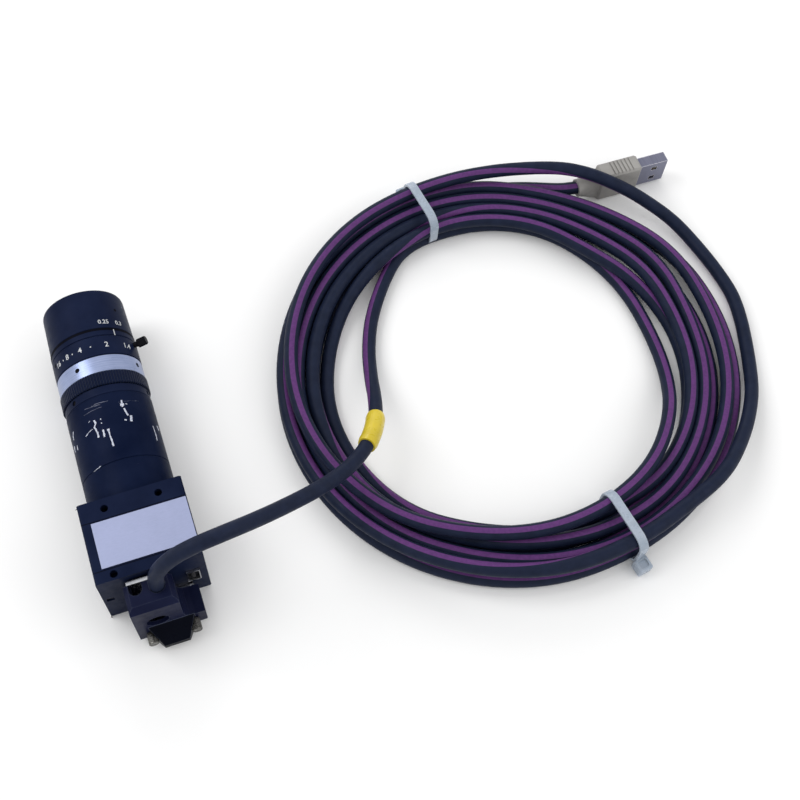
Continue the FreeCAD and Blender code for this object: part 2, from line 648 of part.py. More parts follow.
def build_hood_boss():
    """Wedge-shaped cover between the jack screws, hollowed to clear their heads."""
    wedge = doc.addObject("Part::Wedge", "hood_boss_wedge")
    sizes = {"Xmin": "-boss_tip_left", "Xmax": "boss_tip_right", "X2min": "-boss_left",
             "X2max": "boss_right", "Ymin": HOOD_BACK + " - boss_reach", "Ymax": HOOD_BACK,
             "Zmin": "hood_floor", "Zmax": "boss_tip_top", "Z2min": "hood_floor",
             "Z2max": "boss_top"}
    for name, expression in sizes.items():
        setattr(wedge, name, value(expression))
        wedge.setExpression(name, bound(expression))
    tools = [cylinder("boss_relief_%d" % index, "jack_head_radius + 0.35", "boss_reach + 2",
                      (x, HOOD_BACK + " - boss_reach - 1", "connector_rise"))
             for index, x in enumerate(jack_places())]
    return cut("hood_boss", wedge, tools)


def build_lead_clamp():
    """Crimped collar on the lead's end, under the roof of the hood."""
    roof = "hood_top - outlet_depth"
    y = HOOD_FRONT + " - outlet_setback"
    collar = box("clamp_collar",
                 ("2 * clamp_collar_radius", "clamp_collar_radius + outlet_setback - static_gap",
                  "clamp_collar_depth"),
                 ("outlet_offset - clamp_collar_radius", y + " - clamp_collar_radius",
                  roof + " - clamp_collar_depth - static_gap"))
    core = cylinder("clamp_core", "cord_diameter / 2",
                    "outlet_depth - outlet_grip + clamp_collar_depth / 2",
                    ("outlet_offset", y, roof + " - clamp_collar_depth / 2"), "z")
    return joined("lead_clamp", [collar, core])


def build_cable_connector():
    """Nine-way plug on the lead: flanged shell and insulator."""
    plate, holes = flange("plug_flange", "(%s)" % HOOD_FRONT,
                          "plug_shell_width - 2 * socket_wall",
                          "plug_shell_height - 2 * socket_wall")
    reach = "(%s + 2 * flange_thickness)" % PLUG_REACH
    outer, inner = shell_tube("plug_tube", "plug_shell_width", "plug_shell_height", "socket_wall",
                              "(%s)" % HOOD_FRONT, reach)
    shell = cut("connector_shell", joined("connector_blank", [plate, outer]), holes + [inner])
    insert = box("connector_insert",
                 ("plug_shell_width - 2 * socket_wall - 2 * static_gap", reach + " + 3",
                  "plug_shell_height - 2 * socket_wall - 2 * static_gap"),
                 ("connector_offset - plug_shell_width / 2 + socket_wall + static_gap",
                  HOOD_FRONT + " - 3.5",
                  "connector_rise - plug_shell_height / 2 + socket_wall + static_gap"))
    return [shell, named("connector_insert", insert)]


def fluted(name, radius, length, count, flute, corner):
    """Ring of fine grooves to cut into a round head that starts at a point and runs along +Y."""
    grooves = []
    for index in range(count):
        angle = 2 * math.pi * index / count
        centre = Vec(radius * math.cos(angle), 0, radius * math.sin(angle))
        grooves.append(Part.makeCylinder(flute, length, centre, Vec(0, 1, 0)))
    item = doc.addObject("Part::Feature", name)
    item.Shape = Part.makeCompound(grooves)
    item.Placement = FreeCAD.Placement(corner, FreeCAD.Rotation())
    return item


def build_jack_screw(label, x):
    """Captive jack screw: long shank and knurled head with a screwdriver slot."""
    start = "(%s - axial_gap - jack_head_length)" % HOOD_BACK
    total = "(hood_depth + 2 * flange_thickness + 2 * seat_gap + jack_post_depth + axial_gap)"
    head_edge = "0.3"
    bar = turned(label + "_bar", [
        ("0", "0"), ("jack_head_radius - " + head_edge, "0"), ("jack_head_radius", head_edge),
        ("jack_head_radius", "jack_head_length - " + head_edge),
        ("jack_head_radius - " + head_edge, "jack_head_length"),
        ("jack_shank_radius", "jack_head_length"),
        ("jack_shank_radius", "jack_head_length + %s - %s" % (total, head_edge)),
        ("jack_shank_radius - " + head_edge, "jack_head_length + " + total),
        ("0", "jack_head_length + " + total)], start, x, "connector_rise")
    slot = box(label + "_slot", ("2 * jack_head_radius + 1", "jack_slot_depth", "jack_slot_width"),
               ("%s - jack_head_radius - 0.5" % x, start + " - 0.01",
                "connector_rise - jack_slot_width / 2"))
    grooves = fluted(label + "_knurl", value("jack_head_radius"),
                     value("jack_head_length - 1.2"), int(value("jack_flutes")),
                     value("jack_flute_radius"),
                     Vec(value(x), value(start + " + 0.6"), value("connector_rise")))
    return cut(label, bar, [slot, grooves])


# --------------------------------------------------------------------------------------------------
# Extension tubes
# --------------------------------------------------------------------------------------------------

def tube_points(length, radius, bore="optics_bore_radius", mouth=THREAD_BORE):
    """Tube with a threaded stub behind, a threaded mouth in front and a fine seam chamfer."""
    full = "thread_length + %s" % length
    return [(bore, "0"), ("thread_radius", "0"), ("thread_radius", "thread_length"),
            (radius + " - seam_chamfer", "thread_length"),
            (radius, "thread_length + seam_chamfer"), (radius, full + " - seam_chamfer"),
            (radius + " - seam_chamfer", full), (mouth, full),
            (mouth, full + " - thread_length - seat_gap"),
            (bore, full + " - thread_length - seat_gap")]


def build_lower_tube():
    """Short extension tube that screws into the front plate."""
    return turned("lower_tube", tube_points("lower_tube_length", "tube_radius"),
                  FRONT + " - thread_length")


def build_upper_tube():
    """Long extension tube with a neck for the lock ring."""
    body_end = "thread_length + upper_tube_length"
    neck_end = body_end + " + lock_ring_length"
    points = [("optics_bore_radius", "0"), ("thread_radius", "0"),
              ("thread_radius", "thread_length"), ("tube_radius - seam_chamfer", "thread_length"),
              ("tube_radius", "thread_length + seam_chamfer"),
              ("tube_radius", body_end + " - seam_chamfer"),
              ("tube_radius - seam_chamfer", body_end), ("neck_radius", body_end),
              ("neck_radius", neck_end), (THREAD_BORE, neck_end),
              (THREAD_BORE, neck_end + " - thread_length - seat_gap"),
              ("optics_bore_radius", neck_end + " - thread_length - seat_gap")]
    return turned("upper_tube", points, UPPER_TUBE + " - thread_length")


def radial_bar(name, radius, inner, outer, y, angle):
    """Round bar along a radius of the optical axis, at an angle from straight up."""
    turn = math.radians(angle)
    out = Vec(math.sin(turn), 0, math.cos(turn))
    item = doc.addObject("Part::Cylinder", name)
    item.Radius = value(radius)
    item.setExpression("Radius", bound(radius))
    item.Height = value("%s - (%s)" % (outer, inner))
    item.setExpression("Height", bound("%s - (%s)" % (outer, inner)))
    base = Vec(0, value(y), value(AXIS)) + out * value(inner)
    item.Placement = FreeCAD.Placement(base, FreeCAD.Rotation(Vec(0, 0, 1), out))
    return item


# Set screws round the rings, in degrees from the top towards +X.
LOCK_SCREW_ANGLES = (-44.0, 76.0, 196.0)
MOUNT_SCREW_ANGLES = (-25.0, 65.0, 155.0, 245.0)


def build_lock_ring():
    """Thin ring clamped on the neck by three set screws."""
    ring = turned("lock_ring_blank", [
        ("neck_radius + static_gap", "0"), ("lock_ring_radius - seam_chamfer", "0"),
        ("lock_ring_radius", "seam_chamfer"),
        ("lock_ring_radius", "lock_ring_length - seam_chamfer - axial_gap"),
        ("lock_ring_radius - seam_chamfer", "lock_ring_length - axial_gap"),
        ("neck_radius + static_gap", "lock_ring_length - axial_gap")], LOCK_RING)
    middle = LOCK_RING + " + lock_ring_length / 2"
    holes = [radial_bar("lock_ring_hole_%d" % index, "set_screw_radius + static_gap", "neck_radius",
                        "tube_radius + 1", middle, angle)
             for index, angle in enumerate(LOCK_SCREW_ANGLES)]
    screws = [radial_bar("lock_ring_screw_%d" % index, "set_screw_radius",
                         "neck_radius + static_gap", "lock_ring_radius - 0.35", middle, angle)
              for index, angle in enumerate(LOCK_SCREW_ANGLES)]
    return [cut("lock_ring", ring, holes), joined("lock_ring_screws", screws)]


def build_adapter_ring():
    """Five millimetre adapter with a fine straight knurl round its edge."""
    return turned("adapter_ring", tube_points("adapter_length", "adapter_radius",
                                              mouth="(thread_radius + static_gap)"),
                  ADAPTER + " - thread_length")


# --------------------------------------------------------------------------------------------------
# Lens
# --------------------------------------------------------------------------------------------------

BARREL_BORE = "(barrel_radius - barrel_wall)"


def build_mount_ring():
    """Satin aluminium mount of the lens with its threaded stub and four set screws."""
    full = "thread_length + mount_ring_length"
    seat = "thread_length + 1.5"
    ring = turned("mount_ring_blank", [
        ("optics_bore_radius", "0"), ("thread_radius - static_gap", "0"),
        ("thread_radius - static_gap", "thread_length"),
        ("mount_ring_radius - seam_chamfer", "thread_length"),
        ("mount_ring_radius", "thread_length + seam_chamfer"),
        ("mount_ring_radius", full + " - seam_chamfer"),
        ("mount_ring_radius - seam_chamfer", full), ("barrel_radius + static_gap", full),
        ("barrel_radius + static_gap", seat), ("optics_bore_radius", seat)],
        MOUNT_RING + " - thread_length")
    middle = MOUNT_RING + " + mount_ring_length * 0.55"
    holes = [radial_bar("mount_ring_hole_%d" % index, "set_screw_radius + static_gap",
                        "barrel_radius", "mount_ring_radius + 1", middle, angle)
             for index, angle in enumerate(MOUNT_SCREW_ANGLES)]
    screws = [radial_bar("mount_ring_screw_%d" % index, "set_screw_radius",
                         "barrel_radius + static_gap", "mount_ring_radius - 0.3", middle, angle)
              for index, angle in enumerate(MOUNT_SCREW_ANGLES)]
    return [cut("lens_mount", ring, holes), joined("lens_mount_screws", screws)]


def build_inner_barrel():
    """Fixed core of the lens: the rings turn on it and the front cell slides in it."""
    start = "(%s + 1.5 + static_gap)" % MOUNT_RING
    end = "(%s + barrel_nose)" % FOCUS_RING
    length = "%s - %s" % (end, start)
    stop = "(%s - (%s) - mount_ring_length)" % (IRIS_RING, start)
    return turned("inner_barrel", [
        ("optics_bore_radius", "0"), ("barrel_radius", "0"), ("barrel_radius", length),
        (BARREL_BORE, length), (BARREL_BORE, stop + " + mount_ring_length"),
        ("optics_bore_radius", stop + " + mount_ring_length")], start)


def ring_bore():
    """Bore of a ring that turns on the inner barrel."""
    return "barrel_radius + running_gap"


def build_iris_ring():
    """Iris ring that turns between the mount and the index ring, drilled for its lock screw."""
    ring = turned("iris_ring_blank", [
        (ring_bore(), "0"), ("iris_ring_radius - seam_chamfer", "0"),
        ("iris_ring_radius", "seam_chamfer"), ("iris_ring_radius", "iris_ring_length - seam_chamfer"),
        ("iris_ring_radius - seam_chamfer", "iris_ring_length"), (ring_bore(), "iris_ring_length")],
        IRIS_RING)
    hole = radial_bar("lock_screw_hole", "lock_shank_radius + running_gap", "barrel_radius - 0.5",
                      "iris_ring_radius + 1", INDEX_RING + " - axial_gap - lock_screw_setback",
                      value("lock_screw_angle"))
    return cut("iris_ring", ring, [hole])


def build_index_ring():
    """Fixed ring with the index line, between the iris ring and the focus ring."""
    return turned("index_ring", [
        ("barrel_radius + static_gap", "0"), ("index_ring_radius - seam_chamfer", "0"),
        ("index_ring_radius", "seam_chamfer"),
        ("index_ring_radius", "index_ring_length - seam_chamfer"),
        ("index_ring_radius - 3 * seam_chamfer", "index_ring_length"),
        ("barrel_radius + static_gap", "index_ring_length")], INDEX_RING)


def build_focus_ring():
    """Focus ring: long, slightly tapered, with a rounded front rim."""
    points = [(ring_bore(), "0"), ("focus_rear_radius - seam_chamfer", "0"),
              ("focus_rear_radius", "seam_chamfer"),
              ("focus_front_radius", "focus_ring_length - focus_rim")]
    for step in (30, 60):
        points.append(("focus_front_radius - focus_rim / 2 * %.4f"
                       % (1 - math.cos(math.radians(step))),
                       "focus_ring_length - focus_rim * %.4f" % (1 - math.sin(math.radians(step)))))
    points += [("focus_front_radius - focus_rim / 2", "focus_ring_length"),
               (ring_bore(), "focus_ring_length")]
    return turned("focus_ring", points, FOCUS_RING)


def build_front_cell():
    """Sliding front cell with its filter thread, and the glass and retainer in it."""
    skirt = BARREL_BORE + " - running_gap"
    skirt_bore = skirt + " - cell_skirt_wall"
    total = "cell_skirt + cell_head_length"
    thread_end = total + " - filter_thread_depth"
    step = thread_end + " - thread_relief_length"
    ledge = step + " - retainer_depth - static_gap"
    glass_seat = "%s - front_glass_edge - static_gap" % ledge
    cell = turned("front_cell", [
        (skirt_bore, "0"), (skirt, "0"), (skirt, "cell_skirt"), ("barrel_radius", "cell_skirt"),
        ("barrel_radius", total), ("filter_thread_radius", total),
        ("filter_thread_radius", thread_end),
        ("filter_thread_radius + thread_relief_depth", thread_end),
        ("filter_thread_radius + thread_relief_depth", step),
        ("retainer_radius + static_gap", step), ("retainer_radius + static_gap", ledge),
        ("front_glass_radius + static_gap", ledge),
        ("front_glass_radius + static_gap", glass_seat),
        ("front_glass_radius - 1", glass_seat), ("front_glass_radius - 1", "cell_skirt - 1"),
        (skirt_bore, "cell_skirt - 1")], CELL_REAR)
    seat = "(%s + %s)" % (CELL_REAR, glass_seat)
    dome = lens_points("front_glass_radius", "front_glass_edge", "front_glass_sag", "glass_bow")
    front = turned("front_glass", dome, seat + " + 0.05")
    retainer = turned("glass_retainer", [
        ("retainer_bore", "0"), ("retainer_radius", "0"), ("retainer_radius", "retainer_depth"),
        ("retainer_bore + 0.8", "retainer_depth")],
        "%s - filter_thread_depth - thread_relief_length - retainer_depth" % CELL_FRONT)
    middle = turned("middle_glass", lens_points(skirt_bore + " - static_gap", "middle_glass_edge",
                                                "glass_bow", "glass_bow"), CELL_REAR + " + 3")
    return [cell, front, retainer, middle]


def lens_points(radius, edge, front_sag, rear_sag):
    """Outline of a glass element: flat rim, domed front and hollowed back."""
    points = [("0", rear_sag), ("(%s) * 0.35" % radius, "%s * 0.86" % rear_sag),
              ("(%s) * 0.65" % radius, "%s * 0.55" % rear_sag), ("(%s) - 0.8" % radius, "0"),
              (radius, "0"), (radius, edge), ("(%s) - 0.6" % radius, edge)]
    for share in (0.75, 0.5, 0.25):
        points.append(("(%s) * %.2f" % (radius, share),
                       "%s + %s * %.4f" % (edge, front_sag, 1 - share ** 2)))
    points.append(("0", "%s + %s" % (edge, front_sag)))
    return points


def build_rear_group():
    """Rear glass in the mount, and the iris leaves in the barrel."""
    glass = turned("rear_glass", lens_points("optics_bore_radius - static_gap", "rear_glass_edge",
                                             "glass_bow", "glass_bow"), MOUNT_RING + " - 2.5")
    disc = cylinder("diaphragm_disc", BARREL_BORE + " - static_gap", "diaphragm_thickness",
                    ("0", IRIS_RING + " + static_gap", AXIS))
    hexagon = doc.addObject("Part::Prism", "diaphragm_hole")
    hexagon.Polygon = 6
    hexagon.Circumradius = value("diaphragm_opening")
    hexagon.setExpression("Circumradius", bound("diaphragm_opening"))
    hexagon.Height = value("diaphragm_thickness + 2")
    hexagon.setExpression("Height", bound("diaphragm_thickness + 2"))
    hexagon.Placement.Rotation = TURNS["y"]
    place(hexagon, "0", IRIS_RING + " - 1", AXIS)
    return [glass, cut("iris_leaves", disc, [hexagon])]


def build_lock_screw():
    """Thumb screw that locks the iris ring, along a radius of the optical axis."""
    tip = "barrel_radius + 4 * static_gap"
    shank = "(iris_ring_radius + axial_gap - (%s))" % tip
    collar = "(%s + lock_collar_length)" % shank
    total = "(%s + lock_head_length)" % collar
    screw = turned("lock_screw", [
        ("0", "0"), ("lock_shank_radius", "0"), ("lock_shank_radius", shank),
        ("lock_collar_radius", shank), ("lock_collar_radius", collar),
        ("lock_head_radius - 0.2", collar), ("lock_head_radius", collar + " + 0.2"),
        ("lock_head_radius", total + " - 0.3"), ("lock_head_radius - 0.3", total), ("0", total)],
        "0", "0", "0")
    for axis in "xyz":
        screw.setExpression("Placement.Base." + axis, None)
    turn = math.radians(value("lock_screw_angle"))
    out = Vec(math.sin(turn), 0, math.cos(turn))
    y = value(INDEX_RING + " - axial_gap - lock_screw_setback")
    base = Vec(0, y, value(AXIS)) + out * value(tip)
    screw.Placement = FreeCAD.Placement(base, FreeCAD.Rotation(Vec(0, 1, 0), out))
    return screw


# --------------------------------------------------------------------------------------------------
# Lead, coil, ties and USB plug
# --------------------------------------------------------------------------------------------------

CORD_RADIUS = value("cord_diameter") / 2
HOOD_EXIT = (value("outlet_offset"), value(HOOD_FRONT + " - outlet_setback"),
             value("hood_top - outlet_grip"))

# The lead's route from the hood to the coil, chosen by hand. The marker sleeve sits on one corner.
ROUTE_TO_SLEEVE = [HOOD_EXIT, (0.8, -18.35, 35.0), (3.1, -18.3, 42.0), (8.1, -18.1, 47.7),
                   (15.2, -17.8, 50.8), (24.6, -16.9, 50.9), (36.0, -13.6, 45.2),
                   (47.6, -9.2, 38.2), (59.0, -4.4, 31.4), (69.6, 1.0, 26.2), (79.0, 8.2, 22.4),
                   (85.6, 17.6, 17.6)]
ROUTE_TO_COIL = [(89.6, 29.0, 11.4), (92.2, 41.4, 5.8), (95.6, 54.0, 3.2), (101.4, 67.2, 3.0),
                 (112.0, 81.9, 3.0), (121.5, 91.0, 3.0)]

# The coil's outline: angle from +X, inner and outer radius of the bundle at that angle.
COIL_STATIONS = [(0, 54.0, 97.4), (18, 55.6, 97.2), (34, 57.4, 93.6), (45, 58.6, 84.4),
                 (60, 60.0, 82.2), (80, 60.8, 81.9), (98, 61.0, 81.9), (120, 62.0, 83.4),
                 (150, 64.0, 85.2), (180, 66.0, 86.4), (210, 68.0, 87.6), (240, 65.4, 87.4),
                 (262, 63.2, 85.4), (279, 62.4, 84.9), (300, 61.0, 86.6), (320, 58.2, 91.2),
                 (340, 55.6, 95.6)]


def bend(start, corner, end, radius):
    """Tangent points and middle of the arc that rounds a corner of the route."""
    before = (start - corner).normalize()
    after = (end - corner).normalize()
    turn = math.pi - before.getAngle(after)
    trim = radius * math.tan(turn / 2)
    half = (before + after).normalize()
    centre = corner + half * (radius / math.cos(turn / 2))
    return corner + before * trim, centre - half * radius, corner + after * trim


def corner_radius(points, index):
    """Largest arc that the two runs beside a corner allow."""
    before = points[index] - points[index - 1]
    after = points[index + 1] - points[index]
    turn = before.getAngle(after)
    return 0.45 * min(before.Length, after.Length) / math.tan(turn / 2)


def rounded_wire(points, radii):
    """Straight runs joined by tangent arcs."""
    edges = []
    last = points[0]
    for index in range(1, len(points) - 1):
        enter, middle, leave = bend(points[index - 1], points[index], points[index + 1],
                                    radii[index - 1])
        edges.append(Part.LineSegment(last, enter).toShape())
        edges.append(Part.Arc(enter, middle, leave).toShape())
        last = leave
    edges.append(Part.LineSegment(last, points[-1]).toShape())
    return Part.Wire(edges)


def pipe(wire, radius):
    """Solid of a round section along a wire."""
    start = wire.Edges[0]
    direction = start.tangentAt(start.FirstParameter)
    section = Part.Wire(Part.Circle(wire.Vertexes[0].Point, direction, radius).toShape())
    return wire.makePipeShell([section], True, True)


def feature(label, shape):
    """Piece whose shape is made by Part's own functions."""
    item = doc.addObject("Part::Feature", label)
    item.Label = label
    item.Shape = shape
    item.Placement = FreeCAD.Placement()
    return item


def build_lead():
    """The lead's uncoiled stretch and the marker sleeve on its last bend."""
    points = [Vec(*point) for point in ROUTE_TO_SLEEVE + ROUTE_TO_COIL]
    radii = [corner_radius(points, index) for index in range(1, len(points) - 1)]
    wire = rounded_wire(points, radii)
    lead = pipe(wire, CORD_RADIUS)
    expected = math.pi * CORD_RADIUS ** 2 * wire.Length
    print("lead length %.1f, bend radii %s" % (wire.Length, ["%.1f" % size for size in radii]))
    print("lead volume %.1f of section times length %.1f" % (lead.Volume, expected))

    share = value("sleeve_share")
    bend_index = len(ROUTE_TO_SLEEVE) - 1
    corner = points[bend_index]
    before = corner + (points[bend_index - 1] - corner) * share
    after = corner + (points[bend_index + 1] - corner) * share
    short_wire = rounded_wire([before, corner, after], [radii[bend_index - 1]])
    outer = pipe(short_wire, CORD_RADIUS + value("sleeve_cover"))
    inner = pipe(short_wire, CORD_RADIUS + value("static_gap"))
    return [feature("lead", lead), feature("marker_sleeve", outer.cut(inner))]


def coil_curve(column):
    """Closed smooth curve through the coil's stations."""
    points = [Vec(value("coil_x") + station[column] * math.cos(math.radians(station[0])),
                  value("coil_y") + station[column] * math.sin(math.radians(station[0])), 0)
              for station in COIL_STATIONS]
    curve = Part.BSplineCurve()
    curve.interpolate(points, PeriodicFlag=True)
    return Part.Wire(curve.toShape())


def tie_frame(angle):
    """Placement whose X runs outwards along the coil's radius at an angle."""
    centre = Vec(value("coil_x"), value("coil_y"), 0)
    return FreeCAD.Placement(centre, FreeCAD.Rotation(Vec(0, 0, 1), value(angle)))


def tie_loop(inner, outer, gap):
    """Strap round the bundle, grown by a gap on every side, in the tie's own frame."""
    thick = value("tie_thickness")
    width = value("tie_width") + 2 * gap
    top = value("layers * layer_step - tie_bite")

    def rounded_block(grow):
        x0 = value(inner) - grow
        x1 = value(outer) + grow
        z0 = thick - grow
        block = Part.makeBox(x1 - x0, width, top + grow - z0, Vec(x0, -width / 2, z0))
        uprights = [edge for edge in block.Edges if abs(edge.tangentAt(0).y) > 0.9]
        return block.makeFillet(value("tie_bend") + grow - thick, uprights)

    return rounded_block(thick + gap).cut(rounded_block(-gap))


def build_tie(label, angle, inner, outer):
    """Cable tie: strap round the bundle and its square head on the outside."""
    strap = tie_loop(inner, outer, 0.0)
    head = Part.makeBox(value("tie_head_length"), value("tie_head_width"), value("tie_head_height"),
                        Vec(value(outer) + value("tie_thickness") - 0.2,
                            -value("tie_head_width") / 2, value("tie_head_rise")))
    head = head.makeFillet(0.6, head.Edges)
    item = feature(label, strap.fuse(head).removeSplitter())
    item.Placement = tie_frame(angle)
    return item


def build_coil():
    """Outer shape of the wound lead, with a seat for each tie."""
    face = Part.Face([coil_curve(2), coil_curve(1).reversed()])
    solid = face.extrude(Vec(0, 0, value("layers * layer_step")))
    rims = [edge for edge in solid.Edges if edge.BoundBox.ZMin > 1]
    solid = solid.makeFillet(value("coil_edge"), rims)
    seats = (("upper_tie_angle", "upper_tie_inner", "upper_tie_outer"),
             ("lower_tie_angle", "lower_tie_inner", "lower_tie_outer"))
    for angle, inner, outer in seats:
        seat = tie_loop(inner, outer, value("seat_gap"))
        seat.Placement = tie_frame(angle)
        solid = solid.cut(seat)
    return feature("coil", solid)


def build_plug_grip():
    """Moulded grip of the USB plug: ribbed block that tapers to the strain relief."""
    front = value("plug_x")
    middle_y = value("plug_y")
    middle_z = value("grip_width") / 2
    length = value("grip_length")
    half_width = value("grip_width") / 2
    half_thick = value("grip_thickness") / 2
    block = Part.makeBox(length, 2 * half_thick, 2 * half_width,
                         Vec(front - length, middle_y - half_thick, 0))
    block = block.makeChamfer(value("grip_chamfer"), block.Edges)
    neck = front - length - value("grip_taper")
    round_end = Part.Wire(Part.Circle(Vec(neck, middle_y, middle_z), Vec(1, 0, 0),
                                      value("relief_radius")).toShape())
    inset = value("grip_chamfer")
    broad_end = Part.makePolygon([
        Vec(front - length + inset, middle_y + side * (half_thick - inset),
            middle_z + rise * (half_width - inset))
        for side, rise in ((-1, -1), (1, -1), (1, 1), (-1, 1), (-1, -1))])
    taper = Part.makeLoft([round_end, broad_end], True, True)
    grip = block.fuse(taper)
    for index in range(int(value("rib_count"))):
        x = front - value("rib_setback") - index * value("rib_pitch")
        outer = Part.makeBox(value("rib_width"), 2 * half_thick + 2, 2 * half_width + 2,
                             Vec(x, middle_y - half_thick - 1, -1))
        depth = value("rib_depth")
        inner = Part.makeBox(value("rib_width"), 2 * half_thick + 2, 2 * (half_width - depth),
                             Vec(x, middle_y - half_thick - 1, depth))
        grip = grip.cut(outer.cut(inner))
    hollow = Part.makeBox(value("shell_inside") + 1,
                          value("shell_height") + 2 * value("static_gap"),
                          value("shell_width") + 2 * value("static_gap"),
                          Vec(front - value("shell_inside"),
                              middle_y - value("shell_height") / 2 - value("static_gap"),
                              middle_z - value("shell_width") / 2 - value("static_gap")))
    return feature("plug_grip", grip.cut(hollow))


PLUG_BACK = "(plug_x - shell_inside + static_gap)"
PLUG_RISE = "(grip_width / 2)"


def build_plug_shell():
    """Folded metal shell of the USB plug with its four latch windows."""
    length = "(shell_length + shell_inside - static_gap)"
    outer = box("shell_outer", (length, "shell_height", "shell_width"),
                (PLUG_BACK, "plug_y - shell_height / 2", PLUG_RISE + " - shell_width / 2"))
    tools = [box("shell_bore", (length + " + 2", "shell_height - 2 * shell_wall",
                                "shell_width - 2 * shell_wall"),
                 (PLUG_BACK + " - 1", "plug_y - shell_height / 2 + shell_wall",
                  PLUG_RISE + " - shell_width / 2 + shell_wall"))]
    for index, sign in enumerate(("-", "+")):
        tools.append(box("latch_%d" % index, ("latch_length", "shell_height + 2", "latch_width"),
                         ("plug_x + latch_setback", "plug_y - shell_height / 2 - 1",
                          "%s %s latch_spacing / 2 - latch_width / 2" % (PLUG_RISE, sign))))
    return cut("plug_shell", outer, tools)


def build_plug_tongue():
    """Contact carrier inside the plug and its four contacts."""
    length = "(shell_length + shell_inside - static_gap - tongue_setback)"
    tongue_y = "(plug_y + shell_height / 2 - shell_wall - tongue_thickness - static_gap)"
    tongue = box("plug_tongue", (length, "tongue_thickness",
                                 "shell_width - 2 * shell_wall - 2 * static_gap"),
                 (PLUG_BACK, tongue_y, PLUG_RISE + " - shell_width / 2 + shell_wall + static_gap"))
    contacts = []
    for index in range(4):
        contacts.append(box("contact_%d" % index,
                            (length + " - contact_setback", "contact_thickness", "contact_width"),
                            (PLUG_BACK, tongue_y + " - contact_thickness",
                             "%s + %.1f * contact_pitch - contact_width / 2"
                             % (PLUG_RISE, index - 1.5))))
    return [named("plug_tongue", tongue), joined("plug_contacts", contacts)]


# --------------------------------------------------------------------------------------------------
# The whole assembly
# --------------------------------------------------------------------------------------------------

def flatten(items):
    """One list of pieces from a list of pieces and lists of pieces."""
    flat = []
    for item in items:
        flat.extend(item if isinstance(item, list) else [item])
    return flat


left_jack, right_jack = jack_places()
PIECES = flatten([
    build_front_plate(), build_housing_sleeve(), build_back_plate(), build_housing_screws(),
    build_label_plate(), build_status_window(), board("sensor_board", SENSOR_BOARD),
    board("interface_board", INTERFACE_BOARD), build_board_spacers(), build_board_link(), build_image_sensor(),
    build_sensor_glass(), build_filter(), build_camera_connector(), build_jack_posts(),
    build_mini_socket(), build_hood(), build_hood_plate(), build_hood_boss(), build_lead_clamp(),
    build_cable_connector(), build_jack_screw("left_jack_screw", left_jack),
    build_jack_screw("right_jack_screw", right_jack), build_lower_tube(), build_upper_tube(),
    build_lock_ring(), build_adapter_ring(), build_mount_ring(), build_inner_barrel(),
    build_iris_ring(), build_index_ring(), build_focus_ring(), build_front_cell(),
    build_rear_group(), build_lock_screw(), build_lead(), build_coil(),
    build_tie("upper_tie", "upper_tie_angle", "upper_tie_inner", "upper_tie_outer"),
    build_tie("lower_tie", "lower_tie_angle", "lower_tie_inner", "lower_tie_outer"),
    build_plug_grip(), build_plug_shell(), build_plug_tongue()])

doc.recompute()

faults = ["%s is %s" % (item.Label, item.State) for item in doc.Objects
          if "Invalid" in item.State or "Error" in item.State]
faults += ["%s has no valid shape" % item.Label for item in PIECES
           if item.Shape.isNull() or not item.Shape.isValid() or not item.Shape.Solids]
if faults:
    raise RuntimeError("; ".join(faults))

os.makedirs("parts", exist_ok=True)
for piece in PIECES:
    piece.Shape.exportStep("parts/%s.step" % piece.Label)
    limits = piece.Shape.BoundBox
    print("%-20s solids %2d volume %9.1f  x %7.2f %7.2f  y %7.2f %7.2f  z %6.2f %6.2f" % (
        piece.Label, len(piece.Shape.Solids), piece.Shape.Volume, limits.XMin, limits.XMax,
        limits.YMin, limits.YMax, limits.ZMin, limits.ZMax))
print("%d pieces" % len(PIECES))
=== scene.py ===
"""Looks of a machine vision camera with extension tubes, a lens and a coiled USB lead.

All sizes are in metres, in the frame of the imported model: +Y runs along the optical axis and out of
the lens, +X is the camera's right seen from behind, and +Z is up from the floor.
"""

import logging
import math
from dataclasses import dataclass, field
from enum import Enum
from typing import Iterable, Optional, Sequence

import bmesh
import bpy
from mathutils import Matrix, Vector


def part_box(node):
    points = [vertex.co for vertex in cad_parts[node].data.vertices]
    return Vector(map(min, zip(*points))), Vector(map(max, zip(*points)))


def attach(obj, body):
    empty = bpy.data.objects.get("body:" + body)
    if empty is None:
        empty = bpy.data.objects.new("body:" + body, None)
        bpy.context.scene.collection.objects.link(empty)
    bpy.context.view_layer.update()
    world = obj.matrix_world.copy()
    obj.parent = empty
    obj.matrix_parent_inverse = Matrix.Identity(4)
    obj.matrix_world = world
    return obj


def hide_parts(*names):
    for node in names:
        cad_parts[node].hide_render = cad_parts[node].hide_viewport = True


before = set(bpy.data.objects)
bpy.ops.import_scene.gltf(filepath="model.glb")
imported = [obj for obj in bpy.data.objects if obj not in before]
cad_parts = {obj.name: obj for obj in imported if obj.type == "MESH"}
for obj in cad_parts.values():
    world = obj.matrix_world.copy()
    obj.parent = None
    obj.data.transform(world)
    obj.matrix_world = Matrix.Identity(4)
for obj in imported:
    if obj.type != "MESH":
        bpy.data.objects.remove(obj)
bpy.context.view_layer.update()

LOG = logging.getLogger("vision_camera")
MM = 0.001
AXIS_HEIGHT = 16.0 * MM
WELD = 1e-7
COIL_CENTRE = (143.6, 31.7)
SLANT = Matrix.Rotation(math.pi / 2, 4, "X")
Colour = tuple[float, float, float, float]
Station = tuple[float, float]
Point = tuple[float, float, float]


# --------------------------------------------------------------------------------------------------
# Materials
# --------------------------------------------------------------------------------------------------

class Coordinates(Enum):
    """Which coordinates a pattern follows."""

    OBJECT = "Object"
    SURFACE = "UV"


